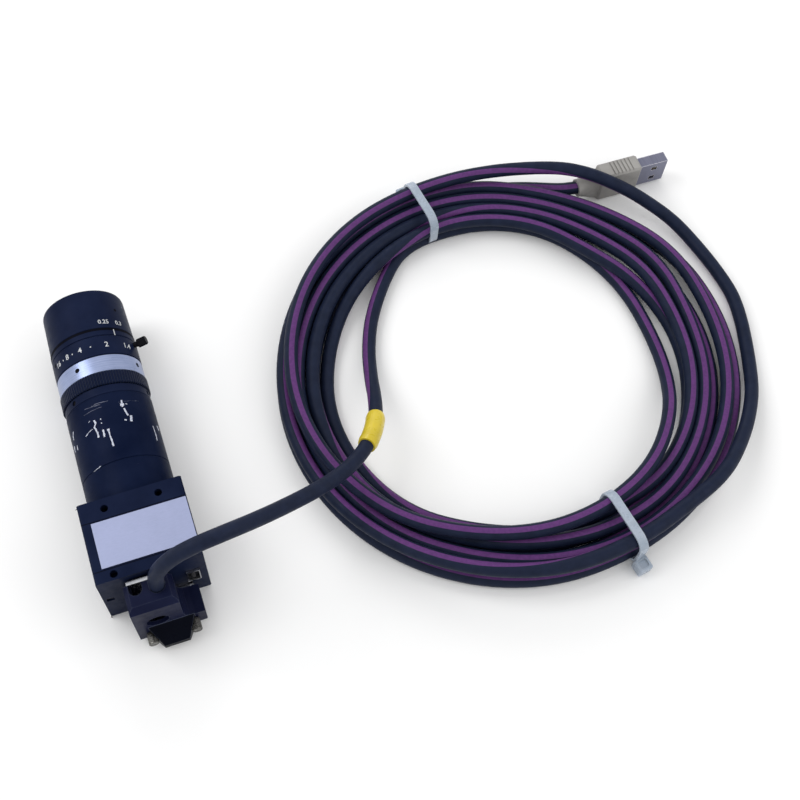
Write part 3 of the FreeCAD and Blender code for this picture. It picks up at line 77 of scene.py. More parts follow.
class ShaderTree:
    """Node tree of one material, with its Principled shader and short calls for common nodes."""

    def __init__(self, name: str) -> None:
        """Start a material.

        Args:
            name: Name of the material.
        """
        self.material = bpy.data.materials.new(name)
        self.material.use_nodes = True
        self.nodes = self.material.node_tree.nodes
        self.links = self.material.node_tree.links
        self.shader = next(n for n in self.nodes if n.type == "BSDF_PRINCIPLED")

    def add(self, kind: str, **settings: object) -> bpy.types.Node:
        """Add a node.

        Args:
            kind: Class name of the node, without the ShaderNode prefix.
            settings: Properties of the node.

        Returns:
            The new node.
        """
        node = self.nodes.new("ShaderNode" + kind)
        for key, setting in settings.items():
            setattr(node, key, setting)
        return node

    def join(self, source: object, target: object) -> None:
        """Feed a socket from another socket or from a constant.

        Args:
            source: Output socket or plain value.
            target: Input socket.
        """
        if isinstance(source, bpy.types.NodeSocket):
            self.links.new(source, target)
        else:
            target.default_value = source

    def feed(self, kind: str, inputs: dict[object, object], output: object = 0,
             **settings: object) -> bpy.types.NodeSocket:
        """Add a node, feed its inputs and give one of its outputs.

        Args:
            kind: Class name of the node, without the ShaderNode prefix.
            inputs: Socket or number for each input, by name or index.
            output: Name or index of the output.
            settings: Properties of the node.

        Returns:
            The output socket.
        """
        node = self.add(kind, **settings)
        for key, source in inputs.items():
            self.join(source, node.inputs[key])
        return node.outputs[output]

    def maths(self, operation: str, first: object, second: object = 0.0) -> bpy.types.NodeSocket:
        """Calculate with one or two values."""
        return self.feed("Math", {0: first, 1: second}, operation=operation)

    def coordinates(self, kind: Coordinates = Coordinates.OBJECT) -> bpy.types.NodeSocket:
        """Give the coordinates that a pattern reads."""
        return self.add("TexCoord").outputs[kind.value]

    def stretched(self, *scale: float) -> bpy.types.NodeSocket:
        """Give object coordinates scaled along the three axes."""
        return self.feed("Mapping", {"Vector": self.coordinates(), "Scale": scale}, "Vector")

    def noise(self, scale: float, detail: float = 3.0, rough: float = 0.55,
              vector: Optional[bpy.types.NodeSocket] = None) -> bpy.types.NodeSocket:
        """Give noise with a scale in patterns per metre, on object coordinates or on a vector."""
        return self.feed("TexNoise", {"Scale": scale, "Detail": detail, "Roughness": rough,
                                      "Vector": vector or self.coordinates()}, "Fac")

    def ramp(self, source: bpy.types.NodeSocket, stops: Sequence[tuple[float, Colour]]
             ) -> bpy.types.NodeSocket:
        """Turn a factor into a colour through a ramp.

        Args:
            source: The factor.
            stops: Positions and colours, in order.

        Returns:
            The colour socket.
        """
        node = self.add("ValToRGB")
        for element, (position, colour) in zip(node.color_ramp.elements, stops):
            element.position = position
            element.color = colour
        self.join(source, node.inputs["Fac"])
        return node.outputs["Color"]

    def mixed(self, factor: object, first: object, second: object) -> bpy.types.NodeSocket:
        """Mix two colours, by the share of the second."""
        return self.feed("Mix", {"Factor": factor, 6: first, 7: second}, 2, data_type="RGBA")

    def span(self, *numbers: object) -> bpy.types.NodeSocket:
        """Map a value, from its range low to high, onto another low to high, clamped."""
        return self.feed("MapRange", dict(enumerate(numbers)))

    def bump(self, height: bpy.types.NodeSocket, depth: float, strength: float = 1.0,
             under: Optional[bpy.types.NodeSocket] = None) -> bpy.types.NodeSocket:
        """Add a bump with its depth in metres, on top of an earlier one where there is one."""
        below = {} if under is None else {"Normal": under}
        return self.feed("Bump", {"Strength": strength, "Distance": depth, "Height": height,
                                  **below}, "Normal")

    def around(self) -> bpy.types.NodeSocket:
        """Give the angle about the optical axis, from -pi to pi.

        Returns:
            The angle socket.
        """
        parts = self.add("SeparateXYZ")
        self.join(self.coordinates(), parts.inputs[0])
        rise = self.maths("SUBTRACT", parts.outputs["Z"], AXIS_HEIGHT)
        return self.maths("ARCTAN2", parts.outputs["X"], rise)

    def rims(self, radius: float, strength: float) -> bpy.types.NodeSocket:
        """Give a painted highlight along the sharp outer edges, where they catch the light.

        Args:
            radius: How far from an edge the mark reaches, in metres.
            strength: Value on the edge.

        Returns:
            The factor socket.
        """
        # Painted highlight: the mask is high where the bevelled normal turns away from the flat one.
        rounded = self.add("Bevel", samples=4)
        rounded.inputs["Radius"].default_value = radius
        flat = self.add("NewGeometry")
        meet = self.add("VectorMath", operation="DOT_PRODUCT")
        self.join(rounded.outputs["Normal"], meet.inputs[0])
        self.join(flat.outputs["Normal"], meet.inputs[1])
        return self.span(meet.outputs["Value"], 0.82, 0.97, strength, 0)

    def set(self, **values: object) -> bpy.types.Material:
        """Feed the shader's own sockets.

        Args:
            values: Socket names with underscores for spaces.

        Returns:
            The finished material.
        """
        for key, source in values.items():
            self.join(source, self.shader.inputs[key.replace("_", " ")])
        return self.material


@dataclass(frozen=True)
class AnodisedFinish:
    """Fine bead-blasted or turned black anodising."""

    name: str = "black_anodised"
    dark: Colour = (0.0042, 0.0080, 0.027, 1)
    light: Colour = (0.0088, 0.0145, 0.042, 1)
    gloss: float = 0.36
    sheen: float = 0.035
    turned: bool = False
    knurl_count: int = 0
    rub: float = 0.0
    tooth_top: Colour = (0.028, 0.034, 0.060, 1)
    rubbed: Colour = (0.10, 0.11, 0.16, 1)

    def build(self) -> bpy.types.Material:
        """Make the material.

        Returns:
            The material.
        """
        tree = ShaderTree(self.name)
        cloud = tree.noise(90, 4)
        colour = tree.ramp(cloud, ((0.3, self.dark), (0.75, self.light)))
        grain = tree.noise(9000, 2, 0.6)
        rough = tree.span(tree.noise(450, 4), 0.3, 0.7, self.gloss - 0.05, self.gloss + 0.08)
        normal = tree.bump(grain, 0.000012, 0.55)
        if self.turned:
            lathe = tree.noise(2600, 3, 0.7, tree.stretched(0.02, 1, 0.02))
            normal = tree.bump(lathe, 0.000010, 0.6, normal)
        if self.knurl_count:
            wave = tree.maths("SINE", tree.maths("MULTIPLY", tree.around(), self.knurl_count))
            teeth = tree.span(wave, -0.6, 0.9, 0, 1)
            normal = tree.bump(teeth, 0.00045, 1.0, normal)
            colour = tree.mixed(tree.span(wave, 0.2, 1.0, 0, 0.45), colour, self.tooth_top)
        if self.rub:
            streak = tree.noise(380, 6, 0.75, tree.stretched(0.35, 2.6, 0.35))
            mask = tree.span(streak, 0.66, 0.74, 0, self.rub)
            colour = tree.mixed(mask, colour, self.rubbed)
        return tree.set(Base_Color=colour, Roughness=rough, Normal=normal,
                        Specular_IOR_Level=self.sheen)


@dataclass(frozen=True)
class BareMetalFinish:
    """Bare, plated or oxidised metal, brushed or turned along one direction."""

    name: str
    dark: Colour
    light: Colour
    gloss: float = 0.3
    grain: Point = (1, 1, 1)
    grain_scale: float = 1800
    # Strength of the painted highlight along the sharp edges.
    edge: float = 0.0

    def build(self) -> bpy.types.Material:
        """Make the material.

        Returns:
            The material.
        """
        tree = ShaderTree(self.name)
        lines = tree.noise(self.grain_scale, 3, 0.7, tree.stretched(*self.grain))
        cloud = tree.noise(140, 4)
        shade = tree.maths("ADD", tree.maths("MULTIPLY", lines, 0.6),
                           tree.maths("MULTIPLY", cloud, 0.4))
        colour = tree.ramp(shade, ((0.32, self.dark), (0.68, self.light)))
        rough = tree.span(shade, 0.3, 0.7, self.gloss - 0.06, self.gloss + 0.08)
        # Painted highlight: near-white mixed in along the sharp edges.
        if self.edge:
            colour = tree.mixed(tree.rims(0.00036, self.edge), colour, (0.90, 0.90, 0.94, 1))
        return tree.set(Base_Color=colour, Roughness=rough, Metallic=1.0,
                        Normal=tree.bump(lines, 0.000006, 0.6))


@dataclass(frozen=True)
class PlasticFinish:
    """Moulded plastic with a fine grain and slight mottling."""

    name: str
    dark: Colour
    light: Colour
    gloss: float = 0.45
    depth: float = 0.00002
    clear: float = 0.0
    soft: float = 0.0
    coat: float = 0.0
    sheen: float = 0.4
    # Strength and colour of the painted highlight along the sharp edges.
    edge: float = 0.0
    edge_highlight_colour: Colour = (0.085, 0.100, 0.145, 1)

    def build(self) -> bpy.types.Material:
        """Make the material.

        Returns:
            The material.
        """
        tree = ShaderTree(self.name)
        colour = tree.ramp(tree.noise(120, 4), ((0.35, self.dark), (0.7, self.light)))
        grain = tree.noise(5200, 3, 0.6)
        rough = tree.span(tree.noise(500, 3), 0.3, 0.7, self.gloss - 0.05, self.gloss + 0.06)
        # Painted highlight: a lighter colour mixed in along the sharp edges.
        if self.edge:
            colour = tree.mixed(tree.rims(0.00022, self.edge), colour, self.edge_highlight_colour)
        tree.shader.inputs["Subsurface Radius"].default_value = (0.002, 0.002, 0.002)
        tree.shader.inputs["Subsurface Scale"].default_value = 0.5
        return tree.set(Base_Color=colour, Roughness=rough,
                        Normal=tree.bump(grain, self.depth, 0.5), Transmission_Weight=self.clear,
                        Subsurface_Weight=self.soft, Coat_Weight=self.coat, IOR=1.48,
                        Specular_IOR_Level=self.sheen)


@dataclass(frozen=True)
class GlassFinish:
    """Coated optical glass with a faint tint and the odd speck of dust."""

    name: str = "coated_glass"
    tint: Colour = (0.80, 0.90, 0.93, 1)
    sheen: Colour = (0.55, 0.75, 0.62, 1)

    def build(self) -> bpy.types.Material:
        """Make the material.

        Returns:
            The material.
        """
        tree = ShaderTree(self.name)
        colour = tree.ramp(tree.noise(60, 2), ((0.3, self.tint), (0.8, (0.86, 0.92, 0.95, 1))))
        dust = tree.span(tree.noise(2400, 2), 0.74, 0.80, 0.02, 0.35)
        tree.shader.inputs["Specular Tint"].default_value = self.sheen
        return tree.set(Base_Color=colour, Roughness=dust, Transmission_Weight=1.0, IOR=1.52)


@dataclass(frozen=True)
class JacketFinish:
    """Matt extruded jacket of the lead, with one printed stripe along it."""

    name: str = "lead_jacket"
    dark: Colour = (0.0066, 0.0108, 0.027, 1)
    light: Colour = (0.0112, 0.0170, 0.041, 1)
    stripe: Colour = (0.122, 0.040, 0.172, 1)
    stripe_share: float = 0.118
    stripe_place: float = 0.25
    lead_length: float = 4.1

    def build(self) -> bpy.types.Material:
        """Make the material.

        Returns:
            The material.
        """
        tree = ShaderTree(self.name)
        parts = tree.add("SeparateXYZ")
        tree.join(tree.coordinates(Coordinates.SURFACE), parts.inputs[0])
        along = tree.maths("MULTIPLY", parts.outputs["X"], self.lead_length)
        line = tree.add("CombineXYZ")
        tree.join(along, line.inputs[0])
        wander = tree.span(tree.noise(5.0, 2, 0.5, line.outputs[0]), 0.25, 0.75, -0.03, 0.03)
        turn = tree.maths("ADD", parts.outputs["Y"], 0.5 - self.stripe_place)
        offset = tree.maths("SUBTRACT", tree.maths("FRACT", tree.maths("ADD", turn, wander)), 0.5)
        edge = tree.maths("ABSOLUTE", offset)
        half = self.stripe_share / 2
        mask = tree.span(edge, half, half + 0.008, 1, 0)
        base = tree.ramp(tree.noise(260, 4), ((0.3, self.dark), (0.75, self.light)))
        tone = tree.mixed(tree.span(tree.noise(900, 3), 0.35, 0.7, 0.72, 1.0), base, self.stripe)
        colour = tree.mixed(mask, base, tone)
        grain = tree.noise(4200, 3, 0.6)
        rough = tree.span(tree.noise(300, 3), 0.3, 0.7, 0.44, 0.58)
        return tree.set(Base_Color=colour, Roughness=rough, Normal=tree.bump(grain, 0.00003, 0.5),
                        Specular_IOR_Level=0.11)


@dataclass(frozen=True)
class PaintFinish:
    """White filling of the engraved marks, slightly broken."""

    name: str = "engraving_paint"
    colour: Colour = (0.62, 0.64, 0.66, 1)
    worn: Colour = (0.34, 0.35, 0.38, 1)

    def build(self) -> bpy.types.Material:
        """Make the material.

        Returns:
            The material.
        """
        tree = ShaderTree(self.name)
        colour = tree.ramp(tree.noise(2600, 4, 0.7), ((0.35, self.worn), (0.55, self.colour)))
        return tree.set(Base_Color=colour, Roughness=0.55)


@dataclass
class Finishes:
    """Every finish of the object, built once and found by its name."""

    recipes: tuple[object, ...] = (
        AnodisedFinish("housing_anodised", gloss=0.42),
        AnodisedFinish("tube_anodised", (0.0028, 0.0062, 0.023, 1), (0.0070, 0.0120, 0.036, 1),
                       0.34, 0.02, turned=True, rub=0.35),
        AnodisedFinish("ring_anodised", turned=True),
        AnodisedFinish("knurled_anodised", knurl_count=98),
        AnodisedFinish("inside_anodised", (0.0012, 0.0016, 0.0045, 1),
                       (0.0030, 0.0036, 0.0080, 1), 0.6, 0.03),
        BareMetalFinish("satin_aluminium", (0.21, 0.26, 0.42, 1), (0.33, 0.38, 0.56, 1), 0.30,
                        (0.03, 1, 0.03), 2400),
        BareMetalFinish("label_metal", (0.28, 0.31, 0.45, 1), (0.33, 0.36, 0.52, 1), 0.50,
                        (0.25, 1, 1), 2200),
        BareMetalFinish("nickel_steel", (0.035, 0.035, 0.036, 1), (0.24, 0.235, 0.22, 1), 0.28),
        # Plug shell with a painted highlight along its sharp edges.
        BareMetalFinish("plug_steel", (0.150, 0.155, 0.215, 1), (0.215, 0.220, 0.290, 1), 0.34,
                        (1, 0.05, 1), 1500, 0.9),
        PlasticFinish("black_oxide", (0.003, 0.003, 0.005, 1), (0.010, 0.010, 0.014, 1), 0.42,
                      sheen=0.05),
        BareMetalFinish("tinned_steel", (0.36, 0.37, 0.40, 1), (0.56, 0.57, 0.60, 1), 0.22,
                        (1, 0.05, 1), 1500),
        BareMetalFinish("gold_plating", (0.55, 0.38, 0.14, 1), (0.85, 0.66, 0.32, 1), 0.25),
        # Hood and boss with a painted highlight along their sharp edges.
        PlasticFinish("hood_plastic", (0.0050, 0.0070, 0.026, 1), (0.0090, 0.0120, 0.038, 1),
                      0.38, sheen=0.06, edge=0.8),
        PlasticFinish("boss_plastic", (0.0006, 0.0012, 0.0042, 1), (0.0014, 0.0022, 0.0065, 1),
                      0.30, depth=0.000008, sheen=0.03, edge=0.9),
        PlasticFinish("insulator", (0.010, 0.010, 0.012, 1), (0.020, 0.020, 0.023, 1), 0.5),
        PlasticFinish("white_insulator", (0.68, 0.68, 0.65, 1), (0.80, 0.80, 0.77, 1), 0.4),
        PlasticFinish("light_guide", (0.020, 0.022, 0.030, 1), (0.050, 0.054, 0.070, 1), 0.12,
                      clear=0.3),
        PlasticFinish("solder_mask", (0.010, 0.11, 0.045, 1), (0.022, 0.19, 0.080, 1), 0.3),
        PlasticFinish("ceramic", (0.24, 0.22, 0.24, 1), (0.34, 0.32, 0.34, 1), 0.6),
        PlasticFinish("grip_plastic", (0.265, 0.255, 0.245, 1), (0.34, 0.33, 0.315, 1), 0.5,
                      depth=0.00003, sheen=0.3),
        PlasticFinish("marker_sleeve", (0.56, 0.43, 0.014, 1), (0.67, 0.52, 0.030, 1), 0.30,
                      depth=0.000010, soft=0.1, coat=0.15),
        # Tie with a pale blue-grey painted highlight along its sharp edges.
        PlasticFinish("tie_nylon", (0.32, 0.38, 0.46, 1), (0.41, 0.46, 0.54, 1), 0.26,
                      depth=0.000002, clear=0.05, soft=0.3, edge=0.8,
                      edge_highlight_colour=(0.62, 0.68, 0.72, 1)),
        GlassFinish(), JacketFinish(), PaintFinish(),
        PaintFinish("scraped_metal", (0.60, 0.63, 0.72, 1), (0.26, 0.29, 0.40, 1)),
        PaintFinish("rubbed_anodising", (0.075, 0.085, 0.135, 1), (0.012, 0.016, 0.042, 1)))
    made: dict[str, bpy.types.Material] = field(default_factory=dict)

    def __post_init__(self) -> None:
        """Build the materials."""
        self.made = {recipe.name: recipe.build() for recipe in self.recipes}

    def __getitem__(self, name: str) -> bpy.types.Material:
        """Give a material by its name."""
        return self.made[name]


# --------------------------------------------------------------------------------------------------
# Mesh helpers
# --------------------------------------------------------------------------------------------------

class MeshPiece:
    """One piece under construction: a bmesh that becomes an object riding on a body."""

    def __init__(self, name: str, material: bpy.types.Material, body: str = "camera",
                 slot: Optional[str] = None) -> None:
        """Start a piece.

        Args:
            name: Name of the piece.
            material: Its material.
            body: The body it rides on.
            slot: Name of a material slot; kept on the piece, not used.
        """
        self.name = name
        self.material = material
        self.body = body
        self.slot = slot
        self.bm = bmesh.new()

    def finished(self, smooth_angle: float = 35.0, replaced: Iterable[str] = ()
                 ) -> bpy.types.Object:
        """Turn the bmesh into an object at the origin.

        Args:
            smooth_angle: Edges sharper than this, in degrees, stay sharp.
            replaced: Nodes that the piece stands for.

        Returns:
            The object.
        """
        bmesh.ops.remove_doubles(self.bm, verts=self.bm.verts, dist=WELD)
        bmesh.ops.recalc_face_normals(self.bm, faces=self.bm.faces)
        for face in self.bm.faces:
            face.smooth = True
        limit = math.radians(smooth_angle)
        for edge in self.bm.edges:
            edge.smooth = len(edge.link_faces) == 2 and edge.calc_face_angle(0.0) < limit
        mesh = bpy.data.meshes.new(self.name)
        self.bm.to_mesh(mesh)
        self.bm.free()
        mesh.materials.append(self.material)
        piece = linked(self.name, mesh)
        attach(piece, self.body)
        if replaced:
            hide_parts(*replaced)
        LOG.info("piece %s: %d faces", self.name, len(mesh.polygons))
        return piece

    def ring_of(self, count: int, radius: float, place: Matrix) -> list[bmesh.types.BMEdge]:
        """Add one circle of edges.

        Args:
            count: Number of corners.
            radius: Radius in metres.
            place: Where the circle lies; its axis is the matrix's Z.

        Returns:
            The new edges.
        """
        made = bmesh.ops.create_circle(self.bm, segments=count, radius=radius, matrix=place)
        return list({edge for vert in made["verts"] for edge in vert.link_edges})

    def hoop(self, centre: Vector, size: tuple[float, float], corner: float, segments: int,
             width: float) -> None:
        """Add a thin hoop: a rectangle with shaped corners, extruded along Y. All in millimetres.

        Args:
            centre: Middle of the hoop.
            size: Its size along X and Z.
            corner: Size of the corners.
            segments: Segments of each corner.
            width: Width along Y.
        """
        bm = self.bm
        plate = bmesh.ops.create_grid(bm, x_segments=1, y_segments=1, size=0.5)
        place = Matrix.Translation(centre * MM) @ SLANT \
            @ Matrix.Diagonal((size[0] * MM, size[1] * MM, 1, 1))
        bmesh.ops.transform(bm, matrix=place, verts=plate["verts"])
        bmesh.ops.bevel(bm, geom=plate["verts"], offset=corner * MM, segments=segments,
                        profile=0.5, affect="VERTICES", material=-1)
        border = [edge for edge in bm.edges if edge.is_boundary]
        bmesh.ops.delete(bm, geom=list(bm.faces), context="FACES_ONLY")
        walls = bmesh.ops.extrude_edge_only(bm, edges=border)
        bmesh.ops.translate(bm, vec=(0, width * MM, 0), verts=verts_of(walls))
        bmesh.ops.translate(bm, vec=(0, -width / 2 * MM, 0), verts=bm.verts)

    def swept(self, path: Sequence[Vector], radii: Sequence[float], count: int = 24) -> None:
        """Sweep a circle of changing radius along a path, closing both ends.

        Args:
            path: Points of the path.
            radii: Radius at each point.
            count: Corners of the section.
        """
        loops = []
        side = Vector((0, 0, 1))
        for index, point in enumerate(path):
            ahead = path[min(index + 1, len(path) - 1)] - path[max(index - 1, 0)]
            forward = ahead.normalized()
            side = (side - forward * side.dot(forward)).normalized()
            across = forward.cross(side)
            place = Matrix.Translation(point) @ Matrix(
                (side, across, forward)).transposed().to_4x4()
            loops.append(self.ring_of(count, radii[index], place))
        for first, second in zip(loops, loops[1:]):
            bmesh.ops.bridge_loops(self.bm, edges=first + second)
        bmesh.ops.edgeloop_fill(self.bm, edges=loops[0])
        bmesh.ops.edgeloop_fill(self.bm, edges=loops[-1])


def linked(name: str, data: bpy.types.ID) -> bpy.types.Object:
    """Make an object and put it in the scene.

    Args:
        name: Name of the object.
        data: Its mesh, curve, light or camera.

    Returns:
        The object.
    """
    made = bpy.data.objects.new(name, data)
    bpy.context.scene.collection.objects.link(made)
    return made


def verts_of(made: dict[str, list]) -> list[bmesh.types.BMVert]:
    """Pick the vertices from what an operator made."""
    return [item for item in made["geom"] if isinstance(item, bmesh.types.BMVert)]


def smooth(share: float) -> float:
    """Ease from 0 to 1."""
    share = min(1.0, max(0.0, share))
    return share * share * (3 - 2 * share)


def eased(stations: Sequence[Station], place: float) -> float:
    """Read a value between stations, easing from one to the next.

    Args:
        stations: Pairs of place and value, in order.
        place: Where to read.

    Returns:
        The value there.
    """
    if place <= stations[0][0]:
        return stations[0][1]
    for (left, first), (right, second) in zip(stations, stations[1:]):
        if place <= right:
            return first + (second - first) * smooth((place - left) / (right - left))
    return stations[-1][1]


# --------------------------------------------------------------------------------------------------
# Lead: hood to coil, the wound turns and the tail to the plug
# --------------------------------------------------------------------------------------------------

LOW, MIDDLE, HIGH = 2.6, 7.8, 13.0


@dataclass(frozen=True)
class Turn:
    """One turn of the coil: its column and its height, by degrees round from the upper tie."""

    columns: tuple[Station, ...]
    heights: tuple[Station, ...]


@dataclass
class CoiledLead:
    """The whole lead as one spline: free stretch, eight turns in three layers, and the tail."""

    finishes: Finishes
    diameter: float = 5.1
    length: float = 4.0
    start_angle: float = 98.0
    step: float = 20.0
    column_pitch: float = 5.15
    clearance: float = 0.06
    settling_rounds: int = 60
    neighbours: int = 8
    route: tuple[Point, ...] = (
        (0.8, -18.35, 28.0), (0.8, -18.35, 35.0), (3.1, -18.3, 42.0), (8.1, -18.1, 47.7),
        (15.2, -17.8, 50.8), (24.6, -16.9, 50.9), (36.0, -13.6, 45.2), (47.6, -9.2, 38.2),
        (59.0, -4.4, 31.4), (69.6, 1.0, 26.2), (79.0, 8.2, 22.4), (85.6, 17.6, 17.6),
        (89.6, 29.0, 11.4), (92.2, 41.4, 5.8), (95.6, 54.0, 3.2), (101.4, 67.2, 3.0),
        (112.0, 81.9, 3.0), (121.5, 91.0, 3.0))
    tail: tuple[Point, ...] = (
        (147.0, 110.2, 2.6), (160.0, 109.3, 2.7), (172.0, 106.6, 3.2), (181.5, 102.6, 4.6),
        (188.3, 98.6, 6.2), (193.4, 96.3, 7.2), (200.0, 95.4, 7.5))
    inner_edge: tuple[Station, ...] = (
        (-27, 56.4), (0, 53.8), (30, 56.4), (60, 60.6), (90, 61.8), (98, 61.4), (120, 62.0),
        (150, 64.8), (180, 68.0), (210, 69.0), (240, 64.6), (270, 63.6), (279, 62.8),
        (300, 61.5), (330, 56.4), (360, 53.8))
    outer_edge: tuple[Station, ...] = (
        (0, 87.0), (30, 87.0), (45, 84.4), (60, 82.4), (90, 82.4), (98, 82.0), (120, 83.4),
        (150, 86.0), (168, 88.0), (185, 88.4), (210, 88.3), (240, 87.4), (270, 85.6), (279, 84.5),
        (300, 85.0), (330, 87.0), (360, 87.0))
    loop_radius: tuple[Station, ...] = (
        (0, 79.6), (18, 80.4), (33, 82.0), (42.5, 83.2), (50, 84.8), (57, 86.8), (60.5, 88.8),
        (64.5, 90.9), (68, 92.8), (72, 94.4), (75.5, 94.6), (86, 94.4), (98, 94.4), (119, 90.4),
        (140, 86.6), (160, 84.0))
    loop_height: tuple[Station, ...] = (
        (0, 13.0), (14, 13.4), (30, 15.4), (42, 17.3), (50, 17.6), (55, 16.6), (60.5, 12.8),
        (66, 8.8), (72, 5.2), (78, 3.4), (86, 2.6), (116, 2.6), (132, 7.0), (150, 12.4),
        (160, 13.0))
    turns: tuple[Turn, ...] = (
        Turn(((0, 0), (150, 0), (345, 3)), ((0, LOW), (112, LOW), (150, HIGH))),
        Turn(((0, 3), (360, 3)), ((0, HIGH), (222, HIGH), (262, MIDDLE))),
        Turn(((0, 3), (22, 2.8), (38, 2.35), (56, 2.35), (76, 2.7), (96, 2.6), (170, 2.6),
              (215, 2)), ((0, MIDDLE), (84, MIDDLE), (100, 6.2), (165, 6.2), (200, MIDDLE))),
        Turn(((0, 2), (38, 1.45), (56, 1.45), (76, 1.8), (96, 1.6), (165, 1.6), (200, 1)),
             ((0, MIDDLE), (84, MIDDLE), (100, 6.2), (160, 6.2), (195, MIDDLE))),
        Turn(((0, 1), (38, 0.55), (56, 0.6), (72, 1.02), (150, 1.0), (185, 0)),
             ((0, MIDDLE), (148, MIDDLE), (185, LOW), (300, LOW), (345, MIDDLE))),
        Turn(((0, 0), (38, -0.32), (56, -0.28), (70, 0), (95, 1)),
             ((0, MIDDLE), (68, MIDDLE), (95, LOW))),
        Turn(((0, 1), (45, 1.05), (90, 2)), ((0, LOW), (360, LOW))),
        Turn(((0, 2), (42, 2.02), (78, 3)), ((0, LOW), (360, LOW))),
    )
    sleeve_point: int = 11
    stripe_lean: tuple[Station, ...] = (
        (0, -0.06), (60, -0.34), (98, -0.42), (143, -0.38), (180, -0.30), (233, -0.24),
        (278, -0.15), (360, -0.06))
    turned_under: tuple[Station, ...] = ((382, 574), (1338, 1456), (1688, 1804))
    path: list[Vector] = field(default_factory=list)

    def place_on_turn(self, number: int, angle: float) -> Vector:
        """Find where a turn's centreline runs.

        Args:
            number: Which turn, from 0.
            angle: Degrees round from the upper tie, clockwise seen from above.

        Returns:
            The point in millimetres.
        """
        turn = self.turns[number]
        bearing = self.start_angle - angle
        heading = bearing % 360
        inside = eased(self.inner_edge, heading)
        width = eased(self.outer_edge, heading) - inside
        pitch = max(self.column_pitch, (width - self.diameter) / 3)
        radius = inside + self.diameter / 2 + eased(turn.columns, angle) * pitch
        height = eased(turn.heights, angle)
        if number == 1 and angle < 160:
            radius = eased(self.loop_radius, angle)
            height = eased(self.loop_height, angle)
        spare = min(1.0, (pitch - self.column_pitch) / 2)
        radius += 0.35 * spare * math.sin(math.radians(angle * 2.3 + number * 83))
        return Vector((COIL_CENTRE[0] + radius * math.cos(math.radians(bearing)),
                       COIL_CENTRE[1] + radius * math.sin(math.radians(bearing)), height))

    def stations(self) -> list[tuple[int, float]]:
        """List the turn and angle of every control point, closer together over the plug.

        Returns:
            Pairs of turn and angle, in order.
        """
        stations = []
        for number in range(len(self.turns)):
            angles = [self.step * index for index in range(round(360 / self.step))]
            if number == 1:
                angles = sorted(set(angles) | {50.0, 66.0, 73.0, 90.0, 130.0, 150.0})
            stations += [(number, angle) for angle in angles]
        return stations + [(len(self.turns) - 1, 360.0)]

    def settled(self, points: list[Vector]) -> list[Vector]:
        """Push turns that press into each other apart, and keep them on the floor.

        Args:
            points: Control points of the turns.

        Returns:
            The points after settling.
        """
        apart = self.diameter + self.clearance
        for _ in range(self.settling_rounds):
            moved = False
            for first in range(len(points)):
                for second in range(first + self.neighbours, len(points)):
                    gap = points[first] - points[second]
                    if abs(gap.x) > apart or abs(gap.y) > apart or gap.length >= apart:
                        continue
                    push = gap.normalized() * (apart - gap.length) * 0.5
                    points[first] += push
                    points[second] -= push
                    moved = True
            for point in points:
                point.z = max(point.z, self.diameter / 2 + 0.02)
            if not moved:
                break
        return points

    def build(self) -> bpy.types.Object:
        """Returns:
            The piece.
        """
        stations = self.stations()
        points = [Vector(point) for point in self.route]
        points += self.settled([self.place_on_turn(*station) for station in stations])
        points += [Vector(point) for point in self.tail]
        tilts = [self.free_tilt(index) for index in range(len(self.route))]
        tilts += [self.turn_tilt(*station) for station in stations]
        tilts += [tilts[-1]] * len(self.tail)
        curve = bpy.data.curves.new("lead_cord", "CURVE")
        curve.dimensions = "3D"
        curve.resolution_u = 8
        curve.twist_mode = "Z_UP"
        curve.use_fill_caps = True
        spline = curve.splines.new("NURBS")
        spline.points.add(len(points) - 1)
        for control, point in zip(spline.points, points):
            control.co = (*(point * MM), 1)
        for control, tilt in zip(spline.points, tilts):
            control.tilt = tilt
        spline.order_u = 3
        spline.use_endpoint_u = True
        piece = linked("lead_cord", curve)
        line = bpy.data.meshes.new_from_object(piece)
        self.path = [vertex.co.copy() for vertex in line.vertices]
        bpy.data.meshes.remove(line)
        curve.bevel_depth = self.diameter / 2 * MM
        curve.bevel_resolution = 7
        curve.materials.append(self.finishes["lead_jacket"])
        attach(piece, "camera")
        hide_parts("lead", "coil")
        LOG.info("piece lead_cord: %d control points, %.3f m", len(points), self.measured())
        return piece

    def free_tilt(self, index: int) -> float:
        """Give the jacket's twist before the coil: under as far as the sleeve, then leaning.

        Args:
            index: The control point of the route.

        Returns:
            Twist in radians.
        """
        return -2.75 + 1.85 * smooth((index - self.sleeve_point + 1) / 3)

    def turn_tilt(self, number: int, angle: float) -> float:
        """Give the jacket's twist on a turn.

        Args:
            number: Which turn, from 0.
            angle: Degrees round from the upper tie.

        Returns:
            Twist in radians.
        """
        twist = eased(self.stripe_lean, angle) + 0.10 * math.sin(number * 2.1 + angle * 0.02)
        if number == 0:
            twist -= 0.80 * (1 - smooth(angle / 60))
        wound = number * 360 + angle
        for start, end in self.turned_under:
            twist += 2.3 * smooth((wound - start) / 34) * smooth((end - wound) / 34)
        return twist

    def measured(self) -> float:
        """Length of the centreline in metres."""
        return sum((after - before).length for before, after in zip(self.path, self.path[1:]))

    def nearest(self, place: Sequence[float], limit: int) -> int:
        """Index of the path's point nearest to a place, among the first points of the path.

        Args:
            place: Point in millimetres.
            limit: How many points of the path to search.

        Returns:
            The index.
        """
        target = Vector(place) * MM
        return min(range(limit), key=lambda index: (self.path[index] - target).length)


